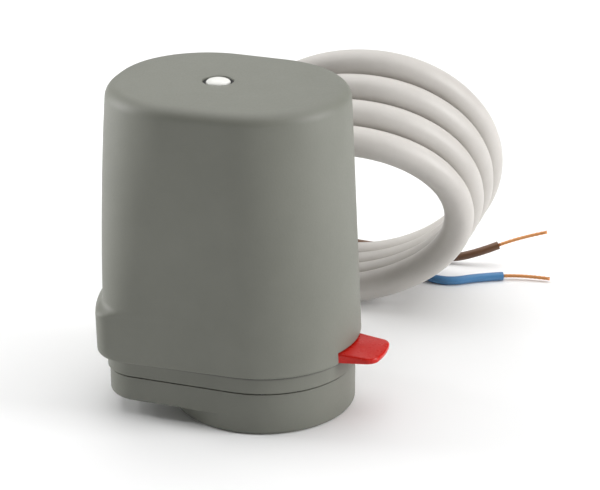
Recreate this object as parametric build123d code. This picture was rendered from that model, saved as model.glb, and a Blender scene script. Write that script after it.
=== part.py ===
"""Thermo-electric valve actuator head: wax motor, lifting yoke, quick-fit collar and coiled two-core lead.

Frame: origin on the axis of the valve socket, at the collar's rim. +Z up, +X towards the release lever,
-X towards the electrical end, +Y the side that the cable leaves. Lengths in millimetres.
"""

import math
import os

from build123d import *

# ---------------------------------------------------------------- driving dimensions

# collar and base
COLLAR_R = 20.15
COLLAR_EDGE_FILLET = 0.8
SOCKET_R = 17.25
SOCKET_STEP = 0.65
SOCKET_DEPTH = 9.4
FOOT_Z = 3.7
FOOT_REACH = 12.05
FOOT_LEFT = -COLLAR_R - FOOT_REACH
FOOT_CORNER = 7.6
FOOT_BOW = 60.0
FOOT_EDGE_FILLET = 1.0
FOOT_WALL = 2.0
BAND_Z = 10.0
BAND_PROUD = 0.45
BAND_GROOVE = 0.5
BAND_GROOVE_DEPTH = 0.35
PARTING_Z = 13.7
TONGUE_WALL = 1.25
TONGUE_HEIGHT = 4.8
HUB_R = 11.4
HUB_BORE_R = 8.0
PLUNGER_WAY_R = 6.6

# casing
CASING_TOP_Z = 71.7
CASING_WALL = 2.0
CASING_ROOF = 2.2
TOP_FILLET = 2.8
TOP_SECTIONS = 6
NOSE_LAP = 1.35
FLANK_LAP = 2.25
END_LAP = 1.6
LOW_NOSE = (0.0, COLLAR_R + NOSE_LAP)
LOW_HALF_WIDTH = COLLAR_R + FLANK_LAP
LOW_LEFT = FOOT_LEFT - END_LAP
LOW_CORNER = 6.3
LOW_BOW = 45.8
HIGH_NOSE = (-2.3, LOW_NOSE[1] - 0.6)
HIGH_HALF_WIDTH = LOW_HALF_WIDTH - 1.15
HIGH_LEFT = LOW_LEFT + 0.5
HIGH_CORNER = HIGH_HALF_WIDTH - 1.35
HIGH_BOW = 60.0
BULGE_PROUD = 2.03
BULGE_CORNER = 3.2
BULGE_SINK = 0.35
BULGE_FLANK_SINK = 1.0
BULGE_FOOT = 2.0
BULGE_SHOULDER = 25.0
BULGE_EASE = 4.6
BULGE_SECTIONS = 5
NOTCH_END = 43.0
NOTCH_GAP = 0.3
NOTCH_HEIGHT = 2.65

# screws that hold casing and base together
TOWER_X = FOOT_LEFT + 3.8
TOWER_Y = 8.0
TOWER_R = 2.8
TOWER_TOP = 36.0
TOWER_GAP = 0.1
CASING_SCREW_R = 1.25
CASING_SCREW_HEAD_R = 2.4
CASING_SCREW_HEAD = 1.6
CASING_SCREW_REACH = 9.0

# quick-fit jaws
JAW_COUNT = 3
JAW_FIRST = 60.0
JAW_WIDTH = 8.0
JAW_THICK = 2.4
JAW_GRIP_R = 15.6
JAW_TAIL_R = 12.6
JAW_BACK_R = 17.6
JAW_HOOK_DROP = 2.6
JAW_HOOK_LEAD = 0.9
JAW_TRAVEL = 1.6
JAW_PIN_R = 1.0
JAW_PIN_CIRCLE = 14.0
JAW_GAP = 0.1
JAW_SIDE_GAP = 0.15
JAW_UNDER_GAP = 0.2
PIN_DECK_GAP = 0.3
PIN_CAM_FIT = 0.08
RETAINER_THICK = 1.1
RETAINER_R = 15.2
RETAINER_BORE_R = 8.2
RETAINER_SCREW_CIRCLE = 10.4
RETAINER_SCREW_R = 0.95
RETAINER_SCREW_HEAD_R = 1.8
RETAINER_SCREW_REACH = 3.0

# release lever
LEVER_SWING = 28.0
LEVER_THICK = 2.15
LEVER_LIFT = 0.15
LEVER_OUTER_R = 17.6
LEVER_FIT = 0.08
TAB_ROOT = (17.6, -8.1)
TAB_BACK_Y = 4.4
TAB_TIP_X = LOW_NOSE[1] + 6.6
TAB_TIP_BOW = 22.0
TAB_FRONT_SWEEP = 11.0
TAB_TIP_THICK = 1.15
TAB_SLOPE_START = LOW_NOSE[1] - 0.9
TAB_FRONT_CORNER = 3.0
TAB_BACK_CORNER = 1.6

# wax motor and its carrier
LIFT = 4.0
FLANGE_R = 13.6
FLANGE_THICK = 2.0
COLUMN_X = 9.2
COLUMN_DEPTH = 3.0
COLUMN_WIDTH = 5.0
PLATFORM_THICK = 2.0
CRADLE_WALL = 1.3
CRADLE_HEIGHT = 5.6
SUPPORT_SCREW_CIRCLE = 9.7
SUPPORT_SCREW_R = 1.1
SUPPORT_SCREW_HEAD_R = 2.0
SUPPORT_SCREW_HEAD = 1.5
SUPPORT_SCREW_REACH = 3.6
CONTACT_THICK = 0.3
CONTACT_R = 6.4
TAB_WIDTH = 3.0
TAB_Y = 4.7
HEATER_R = 6.0
HEATER_THICK = 2.4
WAX_R = 7.0
WAX_BODY = 0.276 * (CASING_TOP_Z - PARTING_Z)
WAX_NECK_R = 4.5
WAX_NECK = 2.6
PISTON_R = 2.0
PISTON_OUT = 3.0
PISTON_IN = 9.0
PISTON_FIT = 0.05
SCREW_DRAW = 0.2

# lifting yoke, plunger and indicator
YOKE_PLATE = 2.5
YOKE_WIDTH = 7.0
YOKE_LEG = 2.0
YOKE_LEG_Y = 9.1
YOKE_CROWN = 3.0
YOKE_CROWN_R = 7.2
YOKE_FLOAT = 0.25
SPRING_GUIDE_R = 4.2
SPRING_GUIDE = 2.4
PLUNGER_FOOT_Z = 9.0
PLUNGER_FOOT_R = 6.0
PLUNGER_FOOT = 2.2
PLUNGER_STEM_R = 3.2
PLUNGER_SPIGOT_R = 2.0
SPRING_MEAN_R = 5.6
SPRING_WIRE_R = 0.8
SPRING_PITCH = 3.05
INDICATOR_X = -9.8
INDICATOR_R = 2.65
INDICATOR_STEM_R = 1.5
INDICATOR_HEAD_SHARE = 0.6
INDICATOR_DOME = 0.55
INDICATOR_PROUD = -0.05
INDICATOR_HOLE_R = 3.35
SEAL_GAP = 0.07
SEAL_SINK = 0.45
SEAL_THICK = 1.5

# electrical end
BLOCK_X = (FOOT_LEFT + 7.2, FOOT_LEFT + 13.7)
BLOCK_HALF = 7.5
BLOCK_Z = (24.0, 33.6)
BLOCK_POST_X = (FOOT_LEFT + 7.6, FOOT_LEFT + 10.2)
BLOCK_POST_HALF = 2.3
TERMINAL_X = FOOT_LEFT + 10.45

# cable
CABLE_R = 3.5
CORE_R = 1.05
STRAND_R = 0.5
GLAND_X = FOOT_LEFT + 9.5
GLAND_Z = 9.3
GLAND_OUT_Y = COLLAR_R + 8.35
GLAND_WAIST_R = 3.95
GLAND_FLANGE_R = 5.2
GLAND_FLANGE = 1.4
GLAND_LOCK_R = 4.6
GLAND_BOOT_R = 4.9
GLAND_TIP_R = 4.4
GLAND_SEAT = 0.1
GLAND_PAD_Y = COLLAR_R - 3.95
GLAND_CUTS = 3
SHEATH_IN_Y = COLLAR_R - 9.75
CLAMP_Y = (COLLAR_R - 9.15, COLLAR_R - 5.65)
CLAMP_CORNER = 1.6
CLAMP_HALF = 6.3
CLAMP_THICK = 2.6
CLAMP_SPLIT = 0.4
CLAMP_SCREW_OFFSET = 4.4
CLAMP_SCREW_R = 0.8
CLAMP_SCREW_HEAD_R = 1.15
CLAMP_SCREW_HEAD_GAP = 0.2
CLAMP_SCREW_HEAD = 1.3
CLAMP_SCREW_SEAT = 2.4
CLAMP_SCREW_REACH = 4.2

# coil: lowest and highest points of a turn, and how far each moves from one turn to the next
COIL_LOW = (-2.0, GLAND_OUT_Y + 22.0, CABLE_R)
COIL_LOW_STEP = (0.5, 7.6, 0.0)
COIL_HIGH = (4.5, GLAND_OUT_Y + 3.5, 48.5)
COIL_HIGH_STEP = (0.5, 6.6, 4.0)
COIL_HALF_WIDTH = 31.0
COIL_YAW = 20.0
COIL_TURNS = 3.96
TAIL_TURN = 0.24
TAIL_POINTS = 4

# clearances
SHELL_GAP = 0.3
FIT = 0.05
SLIDE = 0.3

# ---------------------------------------------------------------- levels that follow

DECK_Z = SOCKET_DEPTH
JAW_Z = DECK_Z + JAW_GAP
CHANNEL_TOP = JAW_Z + JAW_THICK + JAW_GAP
SOCKET_SEAT = JAW_Z - JAW_HOOK_DROP - JAW_UNDER_GAP
LEVER_Z = PARTING_Z + LEVER_LIFT
HUB_TOP = LEVER_Z + LEVER_THICK + LEVER_LIFT
FLANGE_TOP = HUB_TOP + FLANGE_THICK
YOKE_Z = FLANGE_TOP + YOKE_FLOAT
PLATFORM_Z = YOKE_Z + YOKE_PLATE + LIFT + 0.5
PLATFORM_TOP = PLATFORM_Z + PLATFORM_THICK
HEATER_Z = PLATFORM_TOP + CONTACT_THICK
CONTACT_HIGH_Z = HEATER_Z + HEATER_THICK
WAX_Z = CONTACT_HIGH_Z + CONTACT_THICK
WAX_TOP = WAX_Z + WAX_BODY
NECK_TOP = WAX_TOP + WAX_NECK
CROWN_Z = NECK_TOP + PISTON_OUT
CROWN_TOP = CROWN_Z + YOKE_CROWN
ROOF_Z = CASING_TOP_Z - CASING_ROOF
TONGUE_TOP = PARTING_Z + TONGUE_HEIGHT
FOOT_FLOOR = FOOT_Z + FOOT_WALL
CRADLE_R = WAX_R + FIT + CRADLE_WALL
POCKET_R = JAW_BACK_R + JAW_TRAVEL + SLIDE
CASING_SCREW_SEAT = FOOT_Z + CASING_SCREW_HEAD + 0.2
CASING_SCREW_TIP = TONGUE_TOP + TOWER_GAP + CASING_SCREW_REACH


# ---------------------------------------------------------------- plain helpers


def disc(radius, low, high, x=0.0, y=0.0):
    """Upright cylinder between two levels."""
    return Pos(x, y, (low + high) / 2) * Cylinder(radius, high - low)


def ring(outer, inner, low, high, x=0.0, y=0.0):
    """Upright tube between two levels."""
    return disc(outer, low, high, x, y) - disc(inner, low - 1, high + 1, x, y)


def block(x, y, z):
    """Box between three pairs of limits."""
    size = [high - low for low, high in (x, y, z)]
    middle = [(high + low) / 2 for low, high in (x, y, z)]
    return Pos(*middle) * Box(*size)


def around(shape, degrees):
    """The shape turned about the socket's axis."""
    return Rot(0, 0, degrees) * shape


def polar(radius, degrees, z=0.0):
    """Point at a radius and an azimuth."""
    turn = math.radians(degrees)
    return (radius * math.cos(turn), radius * math.sin(turn), z)


def sector(radius, start, end, low, high):
    """Wedge of a disc from one azimuth to another."""
    corners = [(0, 0)]
    steps = 8
    for k in range(steps + 1):
        x, y, _ = polar(radius * 1.3, start + (end - start) * k / steps)
        corners.append((x, y))
    face = make_face(Polyline(*corners, close=True))
    return Pos(0, 0, low) * extrude(face, high - low)


def screw(x, y, seat, shank_r, reach, head_r, head, down=True):
    """Pan-head screw. Its head lies on the seat level and its shank goes down, or up."""
    sign = -1 if down else 1
    shank = disc(shank_r, min(seat, seat + sign * reach), max(seat, seat + sign * reach), x, y)
    cap = disc(head_r, min(seat, seat - sign * head), max(seat, seat - sign * head), x, y)
    far = cap.edges().filter_by(GeomType.CIRCLE).sort_by(Axis.Z)
    cap = fillet(far[-1] if down else far[0], 0.35 * head)
    return cap + shank


def end_outline(nose, half_width, corner, left, bow, inset=0.0):
    """Plan of the housing: round nose at +X, straight flanks, bowed end with round corners at -X.

    The inset moves the whole outline inwards, so that walls and joints follow one set of sizes.
    """
    nose_x, nose_r = nose[0], nose[1] - inset
    corner_r = max(corner - inset, 0.6)
    corner_y = half_width - inset - corner_r
    apex = left + inset
    bow_r = bow - inset
    bow_x = apex + bow_r
    corner_x = bow_x - math.sqrt((bow_r - corner_r) ** 2 - corner_y**2)
    # common outer tangent of the nose and corner circles
    dx, dy = corner_x - nose_x, corner_y
    lean = math.pi - math.asin((nose_r - corner_r) / math.hypot(dx, dy)) - math.atan2(dy, dx)
    nx, ny = math.sin(lean), math.cos(lean)
    flank_nose = (nose_x + nose_r * nx, nose_r * ny)
    flank_end = (corner_x + corner_r * nx, corner_y + corner_r * ny)
    reach = math.hypot(corner_x - bow_x, corner_y)
    ux, uy = (corner_x - bow_x) / reach, corner_y / reach
    bow_end = (corner_x + corner_r * ux, corner_y + corner_r * uy)
    mx, my = nx + ux, ny + uy
    half = math.hypot(mx, my)
    corner_mid = (corner_x + corner_r * mx / half, corner_y + corner_r * my / half)

    def flip(point):
        return (point[0], -point[1])

    edges = [
        Line(flank_nose, flank_end),
        ThreePointArc(flank_end, corner_mid, bow_end),
        ThreePointArc(bow_end, (apex, 0), flip(bow_end)),
        ThreePointArc(flip(bow_end), flip(corner_mid), flip(flank_end)),
        Line(flip(flank_end), flip(flank_nose)),
        ThreePointArc(flip(flank_nose), (nose_x + nose_r, 0), flank_nose),
    ]
    return make_face(edges)


def casing_plan(z, inset=0.0, proud=None):
    """Casing's plan at a level. Its sizes change evenly from the lower edge to the top.

    With a proud end it is the plan of the bulge, whose flanks and nose stay inside the casing's.
    """
    share = (z - PARTING_Z) / (CASING_TOP_Z - PARTING_Z)

    def between(low, high):
        return low + (high - low) * share

    nose = (between(LOW_NOSE[0], HIGH_NOSE[0]), between(LOW_NOSE[1], HIGH_NOSE[1]))
    half_width = between(LOW_HALF_WIDTH, HIGH_HALF_WIDTH)
    corner = between(LOW_CORNER, HIGH_CORNER)
    left = between(LOW_LEFT, HIGH_LEFT)
    bow = between(LOW_BOW, HIGH_BOW)
    if proud is not None:
        nose = (nose[0], nose[1] - BULGE_FLANK_SINK)
        half_width = half_width - BULGE_FLANK_SINK
        left = left - proud + BULGE_SINK
        corner = corner + (BULGE_CORNER - corner) * proud / BULGE_PROUD
    return end_outline(nose, half_width, corner, left, bow, inset)


def foot_outline(grow=0.0):
    """Plan of the base's squared foot, whose flanks are tangent to the collar."""
    return end_outline((0.0, COLLAR_R), COLLAR_R, FOOT_CORNER, FOOT_LEFT, FOOT_BOW, -grow)


def drafted(inset, top):
    """Casing's drafted body up to a level, moved inwards by an inset."""
    low = Pos(0, 0, PARTING_Z) * casing_plan(PARTING_Z, inset)
    high = Pos(0, 0, top) * casing_plan(top, inset)
    return loft([low, high], ruled=True)


def rounded_top():
    """Top of the casing, whose edge is rolled over by a quarter round."""
    start = CASING_TOP_Z - TOP_FILLET
    sections = []
    for k in range(TOP_SECTIONS + 1):
        roll = math.radians(90.0 * k / TOP_SECTIONS)
        level = start + TOP_FILLET * math.sin(roll)
        sections.append(Pos(0, 0, level) * casing_plan(level, TOP_FILLET * (1 - math.cos(roll))))
    return loft(sections)


def lever_front(x):
    """Y of the finger tab's front edge at an X."""
    return TAB_ROOT[1] + (x - TAB_ROOT[0]) * math.tan(math.radians(TAB_FRONT_SWEEP))


def lever_window(gap, end, low, high):
    """Room that the finger tab sweeps: from its front edge, less a gap, round to an azimuth."""
    side = gap / math.cos(math.radians(TAB_FRONT_SWEEP))
    front = [(10, lever_front(10) - side), (40, lever_front(40) - side), (40, 40), (10, 40)]
    strip = Pos(0, 0, low) * extrude(make_face(Polyline(*front, close=True)), high - low)
    return strip & sector(40, -40, end, low, high)


# ---------------------------------------------------------------- casing


def bulge():
    """Swelling low on the electrical end: rolled foot, straight wall and S-shaped shoulder."""
    steps = []
    for k in range(BULGE_SECTIONS + 1):
        roll = math.pi / 2 * k / BULGE_SECTIONS
        steps.append((PARTING_Z + BULGE_FOOT * (1 - math.cos(roll)), BULGE_PROUD * math.sin(roll)))
    wall = BULGE_SHOULDER - PARTING_Z - BULGE_FOOT
    for share in (0.25, 0.5, 0.75):
        steps.append((PARTING_Z + BULGE_FOOT + wall * share, BULGE_PROUD))
    for k in range(BULGE_SECTIONS + 1):
        share = k / BULGE_SECTIONS
        proud = BULGE_PROUD * (1 + math.cos(math.pi * share)) / 2
        steps.append((BULGE_SHOULDER + BULGE_EASE * share, proud))
    return loft([Pos(0, 0, level) * casing_plan(level, 0.0, proud) for level, proud in steps])


def make_casing():
    outer = drafted(0, CASING_TOP_Z - TOP_FILLET) + rounded_top() + bulge()
    body = outer - drafted(CASING_WALL, ROOF_Z)
    # bosses for the two screws that come up through the foot
    boss_low = TONGUE_TOP + TOWER_GAP
    for side in (-1, 1):
        boss = disc(TOWER_R, boss_low, TOWER_TOP, TOWER_X, side * TOWER_Y)
        web = block((TOWER_X - 4.2, TOWER_X), (side * TOWER_Y - 0.8, side * TOWER_Y + 0.8), (boss_low, TOWER_TOP))
        body = body + ((boss + web) & drafted(CASING_WALL / 2, ROOF_Z))
        body = body - disc(
            CASING_SCREW_R, boss_low - 1, CASING_SCREW_TIP + SCREW_DRAW, TOWER_X, side * TOWER_Y
        )
    # seat and inner guide of the closing spring
    body = body + disc(SPRING_MEAN_R - SPRING_WIRE_R - SLIDE, ROOF_Z - SPRING_GUIDE, ROOF_Z + 0.5)
    body = body - disc(INDICATOR_HOLE_R, ROOF_Z - 1, CASING_TOP_Z + 1, INDICATOR_X)
    body = body - lever_window(NOTCH_GAP, NOTCH_END, PARTING_Z - 1, PARTING_Z + NOTCH_HEIGHT)
    return body


# ---------------------------------------------------------------- base


def jaw_azimuths():
    return [JAW_FIRST + 360.0 / JAW_COUNT * k for k in range(JAW_COUNT)]


def retainer_azimuths():
    return [azimuth + 180.0 / JAW_COUNT for azimuth in jaw_azimuths()]


def support_azimuths():
    return [45.0, 135.0, 225.0, 315.0]


def make_base():
    collar = disc(COLLAR_R, 0, PARTING_Z)
    rim = collar.edges().filter_by(GeomType.CIRCLE).sort_by(Axis.Z)[0]
    collar = fillet(rim, COLLAR_EDGE_FILLET)
    foot = Pos(0, 0, FOOT_Z) * extrude(foot_outline(), PARTING_Z - FOOT_Z)
    foot = fillet(foot.edges().filter_by(Plane.XY).group_by(Axis.Z)[0], FOOT_EDGE_FILLET)
    band = Pos(0, 0, BAND_Z) * extrude(foot_outline(BAND_PROUD), PARTING_Z - BAND_Z)
    groove = Pos(0, 0, BAND_Z - BAND_GROOVE) * extrude(
        foot_outline(3.0) - foot_outline(-BAND_GROOVE_DEPTH), BAND_GROOVE
    )
    body = (collar + foot + band) - groove
    # tongue that stands inside the casing's lower edge
    edge = CASING_WALL + SHELL_GAP
    tongue_plan = casing_plan(TONGUE_TOP, edge) - casing_plan(PARTING_Z, edge + TONGUE_WALL)
    tongue = Pos(0, 0, PARTING_Z - 0.5) * extrude(tongue_plan, TONGUE_HEIGHT + 0.5)
    inside_band = Pos(0, 0, PARTING_Z - 1) * extrude(foot_outline(BAND_PROUD), TONGUE_HEIGHT + 2)
    tongue = tongue & inside_band
    tongue = tongue - lever_window(3 * NOTCH_GAP, NOTCH_END + 3, PARTING_Z, TONGUE_TOP + 1)
    gland_gap = GLAND_FLANGE_R + SLIDE
    tongue = tongue - block(
        (GLAND_X - gland_gap, GLAND_X + gland_gap), (10, 30), (PARTING_Z, TONGUE_TOP + 1)
    )
    body = body + tongue
    # hollow of the foot, beside the collar
    well = Pos(0, 0, FOOT_FLOOR) * extrude(foot_outline(-FOOT_WALL), PARTING_Z)
    body = body - ((well - disc(COLLAR_R + 0.2, 0, 40)) & block((-60, -10), (-60, 60), (0, PARTING_Z)))
    # hub that the lever turns on and that carries the wax motor
    body = body + disc(HUB_R, PARTING_Z - 1, HUB_TOP)
    body = body - disc(HUB_BORE_R, PARTING_Z, HUB_TOP + 1)
    body = body - disc(PLUNGER_WAY_R, 0, HUB_TOP)
    body = body - disc(SOCKET_R, -1, SOCKET_SEAT)
    body = body - disc(SOCKET_R - SOCKET_STEP, 0, SOCKET_DEPTH)
    for azimuth in jaw_azimuths():
        half = JAW_WIDTH / 2 + JAW_SIDE_GAP
        channel = block((JAW_TAIL_R - SLIDE, POCKET_R), (-half, half), (DECK_Z - 0.5, CHANNEL_TOP))
        hook_way = block(
            (JAW_GRIP_R - SLIDE, POCKET_R), (-half, half), (SOCKET_SEAT, DECK_Z)
        )
        pin_half = JAW_PIN_R + PIN_DECK_GAP
        pin_way = block(
            (JAW_PIN_CIRCLE, JAW_PIN_CIRCLE + JAW_TRAVEL), (-pin_half, pin_half), (DECK_Z, PARTING_Z + 1)
        )
        pin_way = pin_way + disc(pin_half, DECK_Z, PARTING_Z + 1, JAW_PIN_CIRCLE)
        pin_way = pin_way + disc(pin_half, DECK_Z, PARTING_Z + 1, JAW_PIN_CIRCLE + JAW_TRAVEL)
        body = body - around(channel + hook_way + pin_way, azimuth)
    for azimuth in retainer_azimuths():
        x, y, _ = polar(RETAINER_SCREW_CIRCLE, azimuth)
        body = body - disc(RETAINER_SCREW_R, DECK_Z - 1, DECK_Z + RETAINER_SCREW_REACH, x, y)
    for azimuth in support_azimuths():
        x, y, _ = polar(SUPPORT_SCREW_CIRCLE, azimuth)
        body = body - disc(SUPPORT_SCREW_R, HUB_TOP - SUPPORT_SCREW_REACH, HUB_TOP + 1, x, y)
    # towers round the two casing screws
    for side in (-1, 1):
        tower = disc(TOWER_R, FOOT_Z + 1, TONGUE_TOP, TOWER_X, side * TOWER_Y)
        body = body + (tower & extrude(casing_plan(TONGUE_TOP, edge), TONGUE_TOP))
        body = body - disc(CASING_SCREW_R + 0.1, 0, 40, TOWER_X, side * TOWER_Y)
        body = body - disc(CASING_SCREW_HEAD_R + 0.2, 0, CASING_SCREW_SEAT, TOWER_X, side * TOWER_Y)
    # post under the terminal block
    body = body + block(BLOCK_POST_X, (-BLOCK_POST_HALF, BLOCK_POST_HALF), (FOOT_Z + 1, BLOCK_Z[0]))
    # saddle under the cable
    saddle = block(
        (GLAND_X - CLAMP_HALF, GLAND_X + CLAMP_HALF), CLAMP_Y, (FOOT_Z + 1, GLAND_Z - CLAMP_SPLIT)
    )
    saddle = saddle - disc(LEVER_OUTER_R + SLIDE, PARTING_Z, 40)
    body = body + saddle
    cable_way = Pos(GLAND_X, 15, GLAND_Z) * Rot(90, 0, 0) * Cylinder(CABLE_R + FIT, 30)
    body = body - (cable_way & block((-40, -10), (CLAMP_Y[0] - 1, CLAMP_Y[1] + 1), (0, 30)))
    # pad that gives the gland's inner flange a flat seat
    pad_half = GLAND_FLANGE_R + 0.4
    pad = block((GLAND_X - pad_half, GLAND_X + pad_half), (GLAND_PAD_Y, 19), (FOOT_Z + 1, PARTING_Z))
    body = body + (pad & extrude(foot_outline(), PARTING_Z))
    # U-shaped way for the gland's waist, open upwards and closed by the casing
    half = GLAND_WAIST_R + FIT
    gland_way = Pos(GLAND_X, 21, GLAND_Z) * Rot(90, 0, 0) * Cylinder(half, 10)
    gland_way = gland_way + block((GLAND_X - half, GLAND_X + half), (16, 26), (GLAND_Z, TONGUE_TOP + 1))
    body = body - gland_way
    for side in (-1, 1):
        x = GLAND_X + side * CLAMP_SCREW_OFFSET
        y = sum(CLAMP_Y) / 2
        body = body - disc(CLAMP_SCREW_R, GLAND_Z - CLAMP_SCREW_REACH, GLAND_Z, x, y)
    return body


# ---------------------------------------------------------------- quick-fit jaws and release lever


def make_jaw(azimuth):
    """L-shaped jaw: a plate that slides in the deck and a hook that grips the valve adapter's groove."""
    low = JAW_Z - JAW_HOOK_DROP
    side = [
        (JAW_TAIL_R, JAW_Z),
        (JAW_GRIP_R, JAW_Z),
        (JAW_GRIP_R, low + JAW_HOOK_LEAD),
        (JAW_GRIP_R + JAW_HOOK_LEAD, low),
        (JAW_BACK_R, low),
        (JAW_BACK_R, JAW_Z + JAW_THICK),
        (JAW_TAIL_R, JAW_Z + JAW_THICK),
    ]
    profile = Plane.XZ * make_face(Polyline(*side, close=True))
    jaw = extrude(profile, JAW_WIDTH / 2, both=True)
    jaw = jaw & disc(JAW_BACK_R, 0, 30)
    jaw = jaw - disc(JAW_PIN_R + FIT / 2, JAW_Z - 1, 30, JAW_PIN_CIRCLE)
    return around(jaw, azimuth)


def make_jaw_pin(azimuth):
    """Dowel in the jaw's tail that follows the lever's cam slot."""
    pin = disc(JAW_PIN_R, JAW_Z + 0.2, LEVER_Z + LEVER_THICK - 0.2, JAW_PIN_CIRCLE)
    return around(pin, azimuth)


def make_retainer():
    plate = ring(RETAINER_R, RETAINER_BORE_R, DECK_Z - RETAINER_THICK, DECK_Z)
    for azimuth in retainer_azimuths():
        x, y, _ = polar(RETAINER_SCREW_CIRCLE, azimuth)
        plate = plate - disc(RETAINER_SCREW_R + FIT, 0, 40, x, y)
        sink = Pos(x, y, DECK_Z - RETAINER_THICK + 0.45) * Cone(
            RETAINER_SCREW_HEAD_R + FIT, RETAINER_SCREW_R + FIT, 0.9
        )
        plate = plate - sink
    return plate


def make_retainer_screws():
    screws = []
    for azimuth in retainer_azimuths():
        x, y, _ = polar(RETAINER_SCREW_CIRCLE, azimuth)
        head = Pos(x, y, DECK_Z - RETAINER_THICK + 0.45) * Cone(RETAINER_SCREW_HEAD_R, RETAINER_SCREW_R, 0.9)
        shank = disc(RETAINER_SCREW_R, DECK_Z - RETAINER_THICK + 0.4, DECK_Z + RETAINER_SCREW_REACH - 0.2, x, y)
        screws.append(head + shank)
    return Compound(children=screws)


def make_release_lever():
    """Ring with three cam slots and a finger tab that comes out through the casing's notch."""
    low, high = LEVER_Z, LEVER_Z + LEVER_THICK
    body = disc(LEVER_OUTER_R, low, high)
    root_x = 9.0
    tip_front = (TAB_TIP_X - 0.9, lever_front(TAB_TIP_X - 0.9))
    tip_back = (TAB_TIP_X - 0.6, TAB_BACK_Y)
    tip_middle = (TAB_TIP_X, (tip_front[1] + tip_back[1]) / 2)
    plan = [
        Line((root_x, lever_front(root_x)), tip_front),
        ThreePointArc(tip_front, tip_middle, tip_back),
        Line(tip_back, (root_x, TAB_BACK_Y)),
        Line((root_x, TAB_BACK_Y), (root_x, lever_front(root_x))),
    ]
    tab = Pos(0, 0, low) * extrude(make_face(plan), LEVER_THICK)
    for corner, radius in ((tip_front, TAB_FRONT_CORNER), (tip_back, TAB_BACK_CORNER)):
        upright = tab.edges().filter_by(Axis.Z).sort_by_distance((corner[0], corner[1], high))[0]
        tab = fillet(upright, radius)
    # the finger end slopes down to a thin tip
    slope = [
        (TAB_SLOPE_START, high),
        (TAB_TIP_X + 0.5, low + TAB_TIP_THICK),
        (TAB_TIP_X + 0.5, high + 1),
        (TAB_SLOPE_START, high + 1),
    ]
    wedge = extrude(Plane.XZ * make_face(Polyline(*slope, close=True)), 20, both=True)
    tab = tab - wedge
    body = body + tab
    body = body - disc(HUB_R + LEVER_FIT, 0, 40)
    for azimuth in jaw_azimuths():
        points = []
        for share in (0.0, 0.5, 1.0):
            radius = JAW_PIN_CIRCLE + JAW_TRAVEL * share
            x, y, _ = polar(radius, azimuth - LEVER_SWING * share)
            points.append((x, y))
        half = JAW_PIN_R + PIN_CAM_FIT
        path = Wire([ThreePointArc(*points).edge()])
        outline = path.offset_2d(half, side=Side.BOTH)
        body = body - (Pos(0, 0, low - 1) * extrude(make_face(outline), LEVER_THICK + 2))
    return body


# ---------------------------------------------------------------- wax motor


def make_wax_support():
    """Moulded stand on the hub: flange, two columns, platform and a cradle round the wax motor."""
    body = ring(FLANGE_R, HUB_BORE_R, HUB_TOP, FLANGE_TOP)
    for side in (-1, 1):
        low_x = COLUMN_X if side > 0 else -COLUMN_X - COLUMN_DEPTH
        half = COLUMN_WIDTH / 2
        body = body + block(
            (low_x, low_x + COLUMN_DEPTH), (-half, half), (HUB_TOP + FLANGE_THICK / 2, PLATFORM_TOP)
        )
    half = COLUMN_WIDTH / 2
    reach = COLUMN_X + COLUMN_DEPTH
    body = body + block((-reach, reach), (-half, half), (PLATFORM_Z, PLATFORM_TOP))
    body = body + disc(CRADLE_R, PLATFORM_Z, PLATFORM_TOP)
    cradle = ring(CRADLE_R, WAX_R + FIT, PLATFORM_TOP, PLATFORM_TOP + CRADLE_HEIGHT)
    gate = TAB_Y + TAB_WIDTH / 2 + SLIDE
    cradle = cradle - block((-20, 0), (-gate, gate), (PLATFORM_TOP, PLATFORM_TOP + CRADLE_HEIGHT + 1))
    body = body + cradle
    for azimuth in support_azimuths():
        x, y, _ = polar(SUPPORT_SCREW_CIRCLE, azimuth)
        body = body - disc(SUPPORT_SCREW_R + FIT, 0, FLANGE_TOP + 1, x, y)
    return body


def make_support_screws():
    screws = []
    for azimuth in support_azimuths():
        x, y, _ = polar(SUPPORT_SCREW_CIRCLE, azimuth)
        reach = FLANGE_THICK + SUPPORT_SCREW_REACH - 0.3
        screws.append(
            screw(x, y, FLANGE_TOP, SUPPORT_SCREW_R, reach, SUPPORT_SCREW_HEAD_R, SUPPORT_SCREW_HEAD)
        )
    return Compound(children=screws)


def make_contact(low, side):
    """Contact disc with a tab that reaches the terminal block."""
    plate = disc(CONTACT_R, low, low + CONTACT_THICK)
    half = TAB_WIDTH / 2
    tab = block((TERMINAL_X, -3.5), (side * TAB_Y - half, side * TAB_Y + half), (low, low + CONTACT_THICK))
    return plate + tab


def make_wax_cylinder():
    body = disc(WAX_R, WAX_Z, WAX_TOP)
    body = fillet(body.edges().filter_by(GeomType.CIRCLE).sort_by(Axis.Z)[-1], 1.6)
    body = body + disc(WAX_NECK_R, WAX_TOP - 1, NECK_TOP)
    return body - disc(PISTON_R + PISTON_FIT, NECK_TOP - PISTON_IN - 0.5, NECK_TOP + 1)


def make_wax_piston():
    body = disc(PISTON_R, NECK_TOP - PISTON_IN, CROWN_Z)
    return fillet(body.edges().filter_by(GeomType.CIRCLE).sort_by(Axis.Z)[-1], 0.4)


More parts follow.
